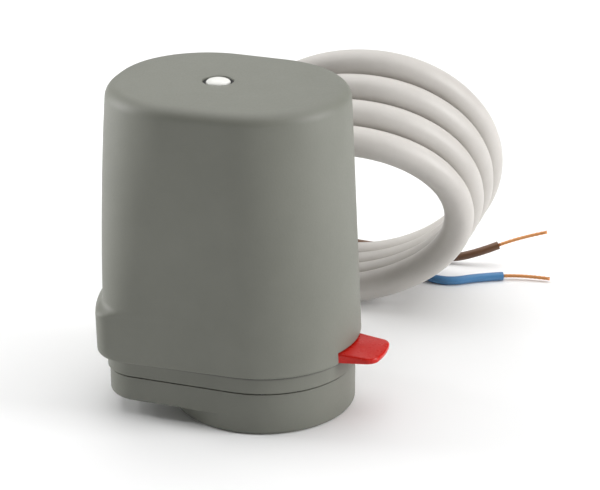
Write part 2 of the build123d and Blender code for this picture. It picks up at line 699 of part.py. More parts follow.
def make_yoke():
    """Stirrup round the wax motor: the piston lifts its crown and its lower bar carries the plunger."""
    half = YOKE_WIDTH / 2
    outer_y = YOKE_LEG_Y + YOKE_LEG
    loop = Plane.YZ * (
        Pos(0, (YOKE_Z + CROWN_TOP) / 2) * Rectangle(2 * outer_y, CROWN_TOP - YOKE_Z)
        - Pos(0, (YOKE_Z + YOKE_PLATE + CROWN_Z) / 2)
        * Rectangle(2 * YOKE_LEG_Y, CROWN_Z - YOKE_Z - YOKE_PLATE)
    )
    body = extrude(loop, half, both=True)
    outside = [e for e in body.edges().filter_by(Axis.X) if abs(e.center().Y) > YOKE_LEG_Y + 1]
    body = fillet(outside, 1.6)
    body = body + disc(YOKE_CROWN_R, CROWN_Z, CROWN_TOP)
    arm_half = 2.4
    arm = block((INDICATOR_X, 0), (-arm_half, arm_half), (CROWN_Z, CROWN_TOP))
    arm = arm + disc(arm_half, CROWN_Z, CROWN_TOP, INDICATOR_X)
    body = body + arm
    guide = disc(SPRING_GUIDE_R, CROWN_TOP - 0.5, CROWN_TOP + SPRING_GUIDE)
    guide = chamfer(guide.edges().filter_by(GeomType.CIRCLE).sort_by(Axis.Z)[-1], 0.5)
    body = body + guide
    body = body - disc(PLUNGER_SPIGOT_R + FIT, YOKE_Z - 1, YOKE_Z + YOKE_PLATE + 0.01)
    body = body - disc(INDICATOR_STEM_R - 0.4 + FIT, CROWN_Z - 1, CROWN_TOP + 1, INDICATOR_X)
    return body


def make_plunger():
    """Pressure foot that closes the valve's pin."""
    foot = disc(PLUNGER_FOOT_R, PLUNGER_FOOT_Z, PLUNGER_FOOT_Z + PLUNGER_FOOT)
    foot = fillet(foot.edges().filter_by(GeomType.CIRCLE), 0.5)
    stem = disc(PLUNGER_STEM_R, PLUNGER_FOOT_Z + 1, YOKE_Z)
    spigot = disc(PLUNGER_SPIGOT_R, YOKE_Z - 1, YOKE_Z + YOKE_PLATE)
    return foot + stem + spigot


def make_indicator():
    """White pin that rises through the casing's top as the valve opens."""
    top = CASING_TOP_Z + INDICATOR_PROUD
    low = top - INDICATOR_HEAD_SHARE * (top - CROWN_TOP)
    stem = disc(INDICATOR_STEM_R, CROWN_TOP, low + 0.5, INDICATOR_X)
    tang = disc(INDICATOR_STEM_R - 0.4, CROWN_Z + 0.2, CROWN_TOP + 0.5, INDICATOR_X)
    sphere_r = (INDICATOR_R**2 + INDICATOR_DOME**2) / (2 * INDICATOR_DOME)
    head = disc(INDICATOR_R, low, top + INDICATOR_DOME, INDICATOR_X)
    cap = Pos(INDICATOR_X, 0, top + INDICATOR_DOME - sphere_r) * Sphere(sphere_r)
    return (head & cap) + stem + tang


def make_indicator_seal():
    high = CASING_TOP_Z - SEAL_SINK
    return ring(INDICATOR_HOLE_R, INDICATOR_R + SEAL_GAP, high - SEAL_THICK, high, INDICATOR_X)


def make_spring():
    low = CROWN_TOP + SPRING_WIRE_R
    high = ROOF_Z - SPRING_WIRE_R
    height = high - low
    path = Pos(0, 0, low) * Helix(SPRING_PITCH, height, SPRING_MEAN_R)
    section = Plane(path @ 0, z_dir=path % 0) * Circle(SPRING_WIRE_R)
    return sweep(section, path=path, is_frenet=True)


# ---------------------------------------------------------------- electrical end


def make_terminal_block():
    body = block(BLOCK_X, (-BLOCK_HALF, BLOCK_HALF), BLOCK_Z)
    body = fillet(body.edges().filter_by(Axis.Z), 0.8)
    for low, side in ((PLATFORM_TOP, -1), (CONTACT_HIGH_Z, 1)):
        half = TAB_WIDTH / 2 + FIT
        body = body - block(
            (TERMINAL_X - FIT, 0),
            (side * TAB_Y - half, side * TAB_Y + half),
            (low - FIT, low + CONTACT_THICK + FIT),
        )
    for side in (-1, 1):
        # entry of the core from below
        body = body - disc(CORE_R + FIT, BLOCK_Z[0] - 1, BLOCK_Z[0] + 2.5, TERMINAL_X, side * TAB_Y)
    return body


INNER_BROWN_ROUTE = [
    (GLAND_X - 1.15, SHEATH_IN_Y, GLAND_Z),
    (GLAND_X - 1.15, SHEATH_IN_Y - 2.2, GLAND_Z),
    (GLAND_X - 0.8, 6.2, GLAND_Z + 3.6),
    (TERMINAL_X, TAB_Y, GLAND_Z + 8.4),
    (TERMINAL_X, TAB_Y, BLOCK_Z[0] + 2.4),
]
INNER_BLUE_ROUTE = [
    (GLAND_X + 1.15, SHEATH_IN_Y, GLAND_Z),
    (GLAND_X + 1.15, SHEATH_IN_Y - 1.8, GLAND_Z),
    (GLAND_X + 1.7, 7.0, GLAND_Z + 3.3),
    (GLAND_X + 3.2, 4.4, GLAND_Z + 7.4),
    (GLAND_X + 3.2, -1.2, GLAND_Z + 9.9),
    (TERMINAL_X, -TAB_Y, GLAND_Z + 12.1),
    (TERMINAL_X, -TAB_Y, BLOCK_Z[0] + 2.4),
]


# ---------------------------------------------------------------- cable


def bend_radii(points):
    """Largest arc at each corner of a route that its two runs allow."""
    radii = []
    for before, here, after in zip(points, points[1:], points[2:]):
        run_in = Vector(*here) - Vector(*before)
        run_out = Vector(*after) - Vector(*here)
        turn = math.radians(run_in.get_angle(run_out))
        radii.append(0.45 * min(run_in.length, run_out.length) / math.tan(turn / 2))
    return radii


def tube(points, radius, name):
    """Round tube along straight runs joined by tangent arcs."""
    radii = bend_radii(points)
    path = FilletPolyline(*points, radius=radii)
    start = Plane(path @ 0, z_dir=path % 0)
    body = sweep(start * Circle(radius), path=path)
    ratio = body.volume / (math.pi * radius**2 * path.length)
    print(name, "radii", [round(r, 1) for r in radii], "length", round(path.length, 1), "fill", round(ratio, 4))
    return body


def coil_point(turn):
    """Point of the coil's centreline. Whole turns are on the floor, half turns at the top."""
    yaw = math.radians(COIL_YAW)
    across = Vector(math.cos(yaw), math.sin(yaw), 0)
    low = Vector(*COIL_LOW) + Vector(*COIL_LOW_STEP) * turn
    high = Vector(*COIL_HIGH) + Vector(*COIL_HIGH_STEP) * (turn - 0.5)
    angle = 2 * math.pi * turn - math.pi / 2
    return (low + high) * 0.5 + (high - low) * (0.5 * math.sin(angle)) + across * (
        COIL_HALF_WIDTH * math.cos(angle)
    )


def coil_face(turn, forward, grow):
    """Ellipse of one turn, moved along its normal and grown by a margin."""
    yaw = math.radians(COIL_YAW)
    across = Vector(math.cos(yaw), math.sin(yaw), 0)
    low = Vector(*COIL_LOW) + Vector(*COIL_LOW_STEP) * turn
    high = Vector(*COIL_HIGH) + Vector(*COIL_HIGH_STEP) * turn
    upright = (high - low).normalized()
    normal = across.cross(upright).normalized()
    centre = (low + high) * 0.5 + normal * forward
    plane = Plane(origin=centre, x_dir=across, z_dir=normal)
    rise = (high - low).length / 2
    return plane * Ellipse(COIL_HALF_WIDTH + grow, rise + grow)


def make_coil():
    """Outer shape of the coil: a fanned ring of turns that stand on the floor side by side."""
    first, last = 0.25, COIL_TURNS - 0.75
    outer = loft([coil_face(first, CABLE_R, CABLE_R), coil_face(last, -CABLE_R, CABLE_R)], ruled=True)
    inner = loft(
        [coil_face(first, CABLE_R + 2, -CABLE_R), coil_face(last, -CABLE_R - 2, -CABLE_R)], ruled=True
    )
    body = outer - inner
    return body - block((-90, 90), (0, 160), (-20, 0))


def lead_route():
    """Free stretch from the gland down to the floor and into the coil."""
    entry = coil_point(0.0)
    return [
        (GLAND_X, GLAND_OUT_Y, GLAND_Z),
        (GLAND_X, GLAND_OUT_Y + 5.2, GLAND_Z),
        (GLAND_X + 2.0, GLAND_OUT_Y + 11.0, GLAND_Z - 1.9),
        (GLAND_X + 6.6, GLAND_OUT_Y + 16.3, GLAND_Z - 4.4),
        (entry.X - 7.0, entry.Y - 2.6, CABLE_R + 0.1),
        (entry.X, entry.Y, entry.Z),
    ]


def make_sheath_inside():
    return Pos(GLAND_X, (SHEATH_IN_Y + GLAND_OUT_Y) / 2, GLAND_Z) * Rot(90, 0, 0) * Cylinder(
        CABLE_R, GLAND_OUT_Y - SHEATH_IN_Y
    )


def make_gland():
    """Grommet held in the foot's wall, with a ribbed boot that keeps the cable from kinking."""
    wall_in = GLAND_PAD_Y - GLAND_SEAT
    wall_out = COLLAR_R + BAND_PROUD + GLAND_SEAT
    flange_out = wall_out + GLAND_FLANGE
    bore = CABLE_R + FIT
    profile = [
        (bore, wall_in - GLAND_FLANGE),
        (GLAND_LOCK_R, wall_in - GLAND_FLANGE),
        (GLAND_LOCK_R, wall_in),
        (GLAND_WAIST_R, wall_in),
        (GLAND_WAIST_R, wall_out),
        (GLAND_FLANGE_R, wall_out),
        (GLAND_FLANGE_R, flange_out),
        (GLAND_BOOT_R, flange_out),
        (GLAND_TIP_R, GLAND_OUT_Y),
        (bore, GLAND_OUT_Y),
    ]
    body = revolve(make_face(Polyline(*profile, close=True)), Axis.Y)
    # rings cut in the boot let it bend
    for k in range(GLAND_CUTS):
        y = flange_out + 1.2 + 1.7 * k
        body = body - Pos(0, y, 0) * Rot(90, 0, 0) * (Cylinder(8, 0.7) - Cylinder(GLAND_TIP_R - 0.4, 0.7))
    body = Pos(GLAND_X, 0, GLAND_Z) * body
    # flats under the casing's lower edge and above the foot's floor
    body = body - block((-40, 0), (0, LOW_HALF_WIDTH + 0.4), (PARTING_Z - 0.15, 40))
    return body - block((-40, 0), (0, wall_in), (0, FOOT_FLOOR + 0.05))


def make_cable_clamp():
    """Bar over the cable, drawn down on its saddle by two screws."""
    half = CLAMP_HALF - 0.6
    top = GLAND_Z + CABLE_R + CLAMP_THICK
    bar = block((GLAND_X - half, GLAND_X + half), CLAMP_Y, (GLAND_Z + CLAMP_SPLIT, top))
    bar = fillet(bar.edges().filter_by(Axis.Z), CLAMP_CORNER)
    bar = chamfer(bar.edges().group_by(Axis.Z)[-1], 0.6)
    bar = bar - Pos(GLAND_X, 15, GLAND_Z) * Rot(90, 0, 0) * Cylinder(CABLE_R + FIT, 30)
    y = sum(CLAMP_Y) / 2
    seat = GLAND_Z + CLAMP_SCREW_SEAT
    for side in (-1, 1):
        x = GLAND_X + side * CLAMP_SCREW_OFFSET
        bar = bar - disc(CLAMP_SCREW_R + FIT, 0, seat + 1, x, y)
        bar = bar - disc(CLAMP_SCREW_HEAD_R + CLAMP_SCREW_HEAD_GAP, seat, seat + 20, x, y)
    return bar


def make_clamp_screws():
    y = sum(CLAMP_Y) / 2
    seat = GLAND_Z + CLAMP_SCREW_SEAT
    reach = CLAMP_SCREW_REACH + CLAMP_SCREW_SEAT - SCREW_DRAW
    screws = []
    for side in (-1, 1):
        x = GLAND_X + side * CLAMP_SCREW_OFFSET
        screws.append(screw(x, y, seat, CLAMP_SCREW_R, reach, CLAMP_SCREW_HEAD_R, CLAMP_SCREW_HEAD))
    return Compound(children=screws)


def make_casing_screws():
    screws = []
    reach = CASING_SCREW_TIP - CASING_SCREW_SEAT
    for side in (-1, 1):
        y = side * TOWER_Y
        screws.append(
            screw(
                TOWER_X, y, CASING_SCREW_SEAT, CASING_SCREW_R, reach, CASING_SCREW_HEAD_R,
                CASING_SCREW_HEAD, down=False,
            )
        )
    return Compound(children=screws)


def tail_route():
    """Last part of a turn: down the coil's side to the end of the sheath on the floor."""
    points = []
    for k in range(TAIL_POINTS):
        point = coil_point(COIL_TURNS - TAIL_TURN * (1 - k / (TAIL_POINTS - 1)))
        points.append((point.X, point.Y, point.Z))
    return points


def sheath_end(forward, aside, up):
    """Point near the end of the sheath: along the cable, across it and above its centre."""
    before, end = [Vector(*point) for point in tail_route()[-2:]]
    ahead = (end - before).normalized()
    across = ahead.cross(Vector(0, 0, 1)).normalized()
    lift = across.cross(ahead)
    point = end + ahead * forward + across * aside + lift * up
    return (point.X, point.Y, point.Z)


BROWN_ROUTE = [
    sheath_end(0.0, -1.1, 0.6),
    sheath_end(6.0, -1.1, 0.6),
    (8.0, 85.0, 1.9),
    (16.5, 84.2, 1.3),
    (24.0, 84.8, 2.1),
    (31.6, 88.0, 5.2),
]
BROWN_STRANDS = [(31.6, 88.0, 5.2), (36.16, 90.04, 7.06), (43.2, 91.4, 9.0)]
BLUE_ROUTE = [
    sheath_end(0.0, 1.1, -0.8),
    sheath_end(5.0, 1.1, -0.8),
    (5.6, 81.2, 1.3),
    (13.2, 79.6, 1.1),
    (16.8, 71.6, 1.1),
    (23.6, 70.6, 1.1),
    (29.6, 75.6, 1.1),
    (35.2, 78.4, 1.1),
]
BLUE_STRANDS = [(35.2, 78.4, 1.1), (39.4, 80.5, 1.1), (46.7, 80.9, 0.9)]


# ---------------------------------------------------------------- write every piece


def write(name, shape):
    export_step(shape, os.path.join("parts", name + ".step"))


os.makedirs("parts", exist_ok=True)

write("casing", make_casing())
write("base", make_base())
write("casing_screws", make_casing_screws())
write("jaw_retainer", make_retainer())
write("retainer_screws", make_retainer_screws())
for letter, azimuth in zip("abc", jaw_azimuths()):
    write("jaw_" + letter, make_jaw(azimuth))
    write("jaw_pin_" + letter, make_jaw_pin(azimuth))
write("release_lever", make_release_lever())
write("wax_support", make_wax_support())
write("support_screws", make_support_screws())
write("lower_contact", make_contact(PLATFORM_TOP, -1))
write("heater_disc", disc(HEATER_R, HEATER_Z, CONTACT_HIGH_Z))
write("upper_contact", make_contact(CONTACT_HIGH_Z, 1))
write("wax_cylinder", make_wax_cylinder())
write("wax_piston", make_wax_piston())
write("yoke", make_yoke())
write("plunger", make_plunger())
write("indicator_pin", make_indicator())
write("indicator_seal", make_indicator_seal())
write("closing_spring", make_spring())
write("terminal_block", make_terminal_block())
write("inner_core_brown", tube(INNER_BROWN_ROUTE, CORE_R, "inner_core_brown"))
write("inner_core_blue", tube(INNER_BLUE_ROUTE, CORE_R, "inner_core_blue"))
write("cable_gland", make_gland())
write("cable_clamp", make_cable_clamp())
write("clamp_screws", make_clamp_screws())
write("sheath_inside", make_sheath_inside())
write("cable_lead", tube(lead_route(), CABLE_R, "cable_lead"))
write("cable_coil", make_coil())
write("cable_tail", tube(tail_route(), CABLE_R, "cable_tail"))
write("core_brown", tube(BROWN_ROUTE, CORE_R, "core_brown"))
write("core_blue", tube(BLUE_ROUTE, CORE_R, "core_blue"))
write("strands_brown", tube(BROWN_STRANDS, STRAND_R, "strands_brown"))
write("strands_blue", tube(BLUE_STRANDS, STRAND_R, "strands_blue"))
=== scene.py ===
import math

import bmesh
import bpy
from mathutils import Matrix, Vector


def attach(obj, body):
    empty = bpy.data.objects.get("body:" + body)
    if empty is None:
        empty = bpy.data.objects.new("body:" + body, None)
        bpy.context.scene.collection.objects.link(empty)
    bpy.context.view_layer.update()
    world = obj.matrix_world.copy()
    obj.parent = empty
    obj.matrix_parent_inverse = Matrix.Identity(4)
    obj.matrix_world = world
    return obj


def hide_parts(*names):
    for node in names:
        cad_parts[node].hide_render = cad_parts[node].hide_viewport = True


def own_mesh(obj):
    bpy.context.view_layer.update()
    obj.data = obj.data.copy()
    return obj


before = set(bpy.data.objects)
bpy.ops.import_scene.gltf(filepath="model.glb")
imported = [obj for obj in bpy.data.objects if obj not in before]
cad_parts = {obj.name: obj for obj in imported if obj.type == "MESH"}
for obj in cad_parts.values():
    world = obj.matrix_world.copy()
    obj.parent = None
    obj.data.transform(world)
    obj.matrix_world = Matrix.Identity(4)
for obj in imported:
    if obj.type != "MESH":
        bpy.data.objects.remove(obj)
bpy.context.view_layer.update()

MM = 0.001

# ---------------------------------------------------------------------------
# Camera: a long lens on a full-frame sensor. It stands about 0.45 m away, a little above the
# head and to the right of its front, and looks at the middle of head and coil.
LENS = 122.27
SENSOR_WIDTH = 36.0
CAMERA_PLACE = Vector((139.09, -381.13, 203.98))
CAMERA_AIM = Vector((3.41, 14.48, 30.32))


def link_object(name, data):
    """New object in the scene that shows the data."""
    made = bpy.data.objects.new(name, data)
    bpy.context.scene.collection.objects.link(made)
    return made


camera_data = bpy.data.cameras.new("studio_camera")
camera_data.lens = LENS
camera_data.sensor_width = SENSOR_WIDTH
camera = link_object("studio_camera", camera_data)
camera.location = CAMERA_PLACE * MM
sight_line = CAMERA_AIM * MM - camera.location
camera.rotation_euler = sight_line.to_track_quat("-Z", "Y").to_euler()
bpy.context.scene.camera = camera

# ---------------------------------------------------------------------------
# Supply cable: round white PVC sheath over two cores. It leaves the boot behind the foot,
# drops to the floor and is wound into four leaning turns that stand up behind the head.
CABLE_R = 3.5
GLAND = Vector((-22.7, 28.5, 9.3))
COIL_LOW = Vector((-2.0, 50.5, CABLE_R))
COIL_LOW_STEP = Vector((0.5, 7.6, 0.0))
COIL_HIGH = Vector((4.5, 32.0, 49.6))
COIL_HIGH_STEP = Vector((0.5, 6.6, 4.0))
COIL_HALF_WIDTH = 31.0
COIL_YAW = math.radians(20.0)
COIL_TURNS = 3.96
POINTS_PER_TURN = 24
CURVE_STEPS = 6
ROUND_STEPS = 8


def coil_point(turn):
    """Point of the coil. Whole turns are on the floor, half turns at the top."""
    across = Vector((math.cos(COIL_YAW), math.sin(COIL_YAW), 0.0))
    low = COIL_LOW + COIL_LOW_STEP * turn
    high = COIL_HIGH + COIL_HIGH_STEP * (turn - 0.5)
    angle = 2 * math.pi * turn - math.pi / 2
    middle = (low + high) * 0.5
    rise = (high - low) * (0.5 * math.sin(angle))
    return middle + rise + across * (COIL_HALF_WIDTH * math.cos(angle))


def cord_curve(name, points, radius):
    """Round cord along one smooth spline whose control points are given in millimetres."""
    data = bpy.data.curves.new(name, "CURVE")
    data.dimensions = "3D"
    spline = data.splines.new("NURBS")
    spline.points.add(len(points) - 1)
    for slot, point in zip(spline.points, points):
        slot.co = (point[0] * MM, point[1] * MM, point[2] * MM, 1.0)
    spline.order_u = 3
    spline.use_endpoint_u = True
    spline.resolution_u = CURVE_STEPS
    data.bevel_depth = radius * MM
    data.bevel_resolution = ROUND_STEPS
    data.use_fill_caps = True
    return link_object(name, data)


def evaluated_mesh(piece):
    """Plain mesh of a piece, as its modifiers or its thickness make it."""
    bpy.context.view_layer.update()
    graph = bpy.context.evaluated_depsgraph_get()
    return bpy.data.meshes.new_from_object(piece.evaluated_get(graph))


def spline_points(piece):
    """Points of a cord's centreline, in metres, without its thickness."""
    bare = piece.data.copy()
    bare.bevel_depth = 0.0
    probe = link_object("probe", bare)
    line = [vertex.co.copy() for vertex in evaluated_mesh(probe).vertices]
    bpy.data.objects.remove(probe)
    return line


def line_length(line):
    """Length of a line through points."""
    return sum((b - a).length for a, b in zip(line, line[1:]))


# straight out of the boot, down to the floor and along it to where the coil begins
cable_route = [
    GLAND,
    GLAND + Vector((0.0, 5.2, 0.0)),
    GLAND + Vector((2.0, 11.0, -1.9)),
    GLAND + Vector((6.6, 16.3, -4.4)),
    COIL_LOW + Vector((-7.0, -2.6, 0.1)),
]
turn_count = int(COIL_TURNS * POINTS_PER_TURN)
for step in range(turn_count + 1):
    cable_route.append(coil_point(COIL_TURNS * step / turn_count))


def connect(tree, *pairs):
    """Links outputs to inputs, in the order given."""
    for source, target in pairs:
        tree.links.new(source, target)


def surface_material(
    name, dark, light, rough, grain, depth, metallic=0.0, mottle=45.0, specular=0.5
):
    """Finish made of a slow colour drift, a fine grain and a roughness that follows it.

    The colour drifts from dark to light at the scale mottle. The grain has the scale grain and
    the height depth, in metres, and rough gives the lowest and the highest roughness.
    """
    material = bpy.data.materials.new(name)
    material.use_nodes = True
    nodes = material.node_tree.nodes
    shader = nodes["Principled BSDF"]
    shader.inputs["Metallic"].default_value = metallic
    shader.inputs["Specular IOR Level"].default_value = specular
    where = nodes.new("ShaderNodeTexCoord")
    drift = nodes.new("ShaderNodeTexNoise")
    drift.inputs["Scale"].default_value = mottle
    drift.inputs["Detail"].default_value = 6.0
    drift.inputs["Roughness"].default_value = 0.65
    tint = nodes.new("ShaderNodeValToRGB")
    tint.color_ramp.elements[0].position = 0.32
    tint.color_ramp.elements[0].color = (*dark, 1.0)
    tint.color_ramp.elements[1].position = 0.68
    tint.color_ramp.elements[1].color = (*light, 1.0)
    fine = nodes.new("ShaderNodeTexNoise")
    fine.inputs["Scale"].default_value = grain
    fine.inputs["Detail"].default_value = 3.0
    bump = nodes.new("ShaderNodeBump")
    bump.inputs["Strength"].default_value = 0.5
    bump.inputs["Distance"].default_value = depth
    gloss = nodes.new("ShaderNodeMapRange")
    gloss.inputs["To Min"].default_value = rough[0]
    gloss.inputs["To Max"].default_value = rough[1]
    connect(
        material.node_tree,
        (where.outputs["Object"], drift.inputs["Vector"]),
        (where.outputs["Object"], fine.inputs["Vector"]),
        (drift.outputs["Fac"], tint.inputs["Fac"]),
        (tint.outputs["Color"], shader.inputs["Base Color"]),
        (fine.outputs["Fac"], bump.inputs["Height"]),
        (bump.outputs["Normal"], shader.inputs["Normal"]),
        (fine.outputs["Fac"], gloss.inputs["Value"]),
        (gloss.outputs["Result"], shader.inputs["Roughness"]),
    )
    return material


sheath_pvc = surface_material(
    "sheath_pvc", dark=(0.52, 0.495, 0.465), light=(0.58, 0.555, 0.525),
    rough=(0.40, 0.55), grain=900.0, depth=0.00003, mottle=60.0,
)

cable = cord_curve("supply_cable", cable_route, CABLE_R)
cable.data.materials.append(sheath_pvc)
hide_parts("cable_lead", "cable_coil", "cable_tail")
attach(cable, "housing")
line_length(spline_points(cable))

# ---------------------------------------------------------------------------
# Cores: brown and blue PVC on fine copper, bared over the last 12 mm. They come out of the
# sheath's end behind the coil and spread out on the floor to its right.
CORE_R = 1.05
STRAND_R = 0.17
LAY_R = 0.29
LAY_LENGTH = 6.0
LAY_LOOSENING = 0.1
WIRES = 6
WIRE_SIDES = 8
DOUBLES = 1e-7  # points closer than this, in metres, are one point

sheath_tip = coil_point(COIL_TURNS)
ahead = (sheath_tip - coil_point(COIL_TURNS - 0.01)).normalized()
aside = ahead.cross(Vector((0, 0, 1))).normalized()


def from_tip(forward, across, up):
    """Point at a place measured from the sheath's end: ahead of it, to its side and up."""
    return sheath_tip + ahead * forward + aside * across + Vector((0, 0, up))


brown_route = [
    from_tip(0.0, -1.1, 0.6),
    from_tip(6.0, -1.1, 0.6),
    (8.0, 85.0, 1.9),
    (16.5, 84.2, 1.3),
    (24.0, 84.8, 2.1),
    (31.6, 88.0, 5.2),
]
blue_route = [
    from_tip(0.0, 1.1, -0.8),
    from_tip(5.0, 1.1, -0.8),
    (5.6, 81.2, 1.3),
    (13.2, 79.6, 1.1),
    (16.8, 71.6, 1.1),
    (23.6, 70.6, 1.1),
    (29.6, 75.6, 1.1),
    (35.2, 78.4, 1.1),
]


def turn_outwards(mesh):
    """Merges a mesh's double points and turns its faces outwards."""
    work = bmesh.new()
    work.from_mesh(mesh)
    bmesh.ops.remove_doubles(work, verts=work.verts, dist=DOUBLES)
    bmesh.ops.recalc_face_normals(work, faces=work.faces)
    work.to_mesh(mesh)
    work.free()


def link_mesh(name, vertices, faces):
    """Mesh object from points in millimetres, with its faces turned outwards."""
    mesh = bpy.data.meshes.new(name)
    mesh.from_pydata([(x * MM, y * MM, z * MM) for x, y, z in vertices], [], faces)
    turn_outwards(mesh)
    return link_object(name, mesh)


def tube_faces(first, rings, sides):
    """Faces of a closed tube whose rings of points start at the point first."""
    faces = []
    for r in range(rings - 1):
        low, high = first + r * sides, first + (r + 1) * sides
        for k in range(sides):
            j = (k + 1) % sides
            faces.append((low + k, low + j, high + j, high + k))
    last = first + (rings - 1) * sides
    faces.append(tuple(first + k for k in range(sides)))
    faces.append(tuple(last + k for k in range(sides)))
    return faces


def twisted_strands(name, route):
    """Bundle of fine wires twisted round a middle one, a little looser towards its end."""
    guide = cord_curve("guide", route, STRAND_R)
    line = [point / MM for point in spline_points(guide)]
    bpy.data.objects.remove(guide)
    earlier, later = [line[0], *line[:-1]], [*line[1:], line[-1]]
    along = [(b - a).normalized() for a, b in zip(earlier, later)]
    side = along[0].cross(Vector((0, 0, 1))).normalized()
    travel = 0.0
    frames = []
    for k, (point, tangent) in enumerate(zip(line, along)):
        side = (side - tangent * side.dot(tangent)).normalized()
        travel += (point - earlier[k]).length
        frames.append((point, side.copy(), tangent.cross(side), travel))
    vertices, faces = [], []
    for wire in range(WIRES + 1):
        first = len(vertices)
        for point, across, up, run in frames:
            spread = 0.0 if wire == WIRES else LAY_R * (1 + LAY_LOOSENING * (run / travel) ** 2)
            turn = 2 * math.pi * (wire / WIRES + run / LAY_LENGTH)
            centre = point + across * (spread * math.cos(turn)) + up * (spread * math.sin(turn))
            for k in range(WIRE_SIDES):
                angle = 2 * math.pi * k / WIRE_SIDES
                offset = across * math.cos(angle) + up * math.sin(angle)
                vertices.append(centre + offset * STRAND_R)
        faces += tube_faces(first, len(frames), WIRE_SIDES)
    bundle = link_mesh(name, vertices, faces)
    bundle.data.shade_smooth()
    return bundle


brown_strands = [(31.6, 88.0, 5.2), (36.16, 90.04, 7.06), (43.2, 91.4, 9.0)]
blue_strands = [(35.2, 78.4, 1.1), (39.4, 80.5, 1.1), (46.6, 80.9, 0.9)]

brown_pvc = surface_material(
    "brown_pvc", dark=(0.10, 0.045, 0.020), light=(0.15, 0.070, 0.032),
    rough=(0.30, 0.42), grain=1500.0, depth=0.00002,
)
blue_pvc = surface_material(
    "blue_pvc", dark=(0.050, 0.17, 0.36), light=(0.075, 0.23, 0.45),
    rough=(0.30, 0.42), grain=1500.0, depth=0.00002,
)
bare_copper = surface_material(
    "bare_copper", dark=(0.62, 0.26, 0.10), light=(0.80, 0.40, 0.17),
    rough=(0.22, 0.40), grain=2500.0, depth=0.00001, metallic=1.0,
)
for colour, route, strands, paint in (
    ("brown", brown_route, brown_strands, brown_pvc),
    ("blue", blue_route, blue_strands, blue_pvc),
):
    core = cord_curve("core_lead_" + colour, route, CORE_R)
    tip = twisted_strands("copper_tip_" + colour, strands)
    tip.data.materials.append(bare_copper)
    core.data.materials.append(paint)
    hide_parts("core_" + colour)
    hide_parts("strands_" + colour)
    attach(core, "housing")
    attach(tip, "housing")
    line_length(spline_points(core))

# ---------------------------------------------------------------------------
# Casing: moulded grey shell with draft, a rolled top edge, a swelling low on its electrical
# end and a notch for the lever. Its wall is 2 mm thick, with a hole for the indicator.
PARTING_Z = 13.7
CASING_TOP_Z = 71.7
CASING_WALL = 2.0
ROOF_Z = 69.5
ROLL_LOW_Z = 68.9
TOP_FILLET = 2.8
ROOF_INSET = 0.8
EDGE_R = 0.22
HOLE_X = -9.8
HOLE_R = 3.35
# plan at the parting line and at the top, between which the walls lean
NOSE_X = (0.0, -2.3)
NOSE_R = (21.5, 20.9)
HALF_WIDTH = (22.4, 21.25)
CORNER_R = (6.3, 19.9)
END_X = (-33.8, -33.3)
BOW_R = (45.8, 60.0)
SMALLEST_CORNER_R = 0.6
# swelling of the electrical end
BULGE_PROUD = 1.68
BULGE_CORNER = 3.6
BULGE_ROUND = 2.0
BULGE_FULL_Z = 23.6
BULGE_EASE = 2.6
# lower edge: how far the skin is rolled in at each of its lowest levels
SEAM_ROLL = {13.7: 0.42, 13.85: 0.16, 14.0: 0.03}
# notch: degrees round the nose, where the nose itself reaches NOSE_SPAN to each side
NOTCH_TOP = 16.35
NOTCH_START = -21.9
NOTCH_END = 43.0
NOSE_SPAN = 88.0
NOTCH_SLANT = 3.0
NOTCH_SLANT_REACH = 14.0
NOTCH_SLANT_ROWS = 10
# columns round the plan and rows over the walls, the rolled edge and the roof
NOSE_COLUMNS = 56
FLANK_COLUMNS = 10
CORNER_COLUMNS = 16
BOW_COLUMNS = 10
EASE_ROWS = 12
WALL_ROWS = 14
ROLL_ROWS = 8
ROOF_ROWS = 10


def end_outline(nose, half_width, corner, left, bow, inset, fractions):
    """Points round a plan with a round nose at +X, straight flanks and a bowed end at -X.

    The nose is (centre, radius). Each of the fractions names an arc or a flank and how far along
    it the point lies, and is negative on the side of -Y.
    """
    nose_x, nose_r = nose[0], nose[1] - inset
    corner_r = max(corner - inset, SMALLEST_CORNER_R)
    corner_y = half_width - inset - corner_r
    apex = left + inset
    bow_r = bow - inset
    bow_x = apex + bow_r
    corner_x = bow_x - math.sqrt((bow_r - corner_r) ** 2 - corner_y**2)
    dx, dy = corner_x - nose_x, corner_y
    lean = math.pi - math.asin((nose_r - corner_r) / math.hypot(dx, dy)) - math.atan2(dy, dx)
    flank_angle = math.pi / 2 - lean
    bow_angle = math.atan2(corner_y, corner_x - bow_x)
    points = []
    for part, share in fractions:
        if part == "nose":
            angle = flank_angle * share
            points.append((nose_x + nose_r * math.cos(angle), nose_r * math.sin(angle)))
            continue
        side = 1 if share >= 0 else -1
        along = abs(share)
        if part == "flank":
            x0 = nose_x + nose_r * math.cos(flank_angle)
            y0 = nose_r * math.sin(flank_angle)
            x1 = corner_x + corner_r * math.cos(flank_angle)
            y1 = corner_y + corner_r * math.sin(flank_angle)
            points.append((x0 + (x1 - x0) * along, side * (y0 + (y1 - y0) * along)))
        elif part == "corner":
            angle = flank_angle + (bow_angle - flank_angle) * along
            y = side * (corner_y + corner_r * math.sin(angle))
            points.append((corner_x + corner_r * math.cos(angle), y))
        else:
            angle = bow_angle + (math.pi - bow_angle) * along
            points.append((bow_x + bow_r * math.cos(angle), side * bow_r * math.sin(angle)))
    return points


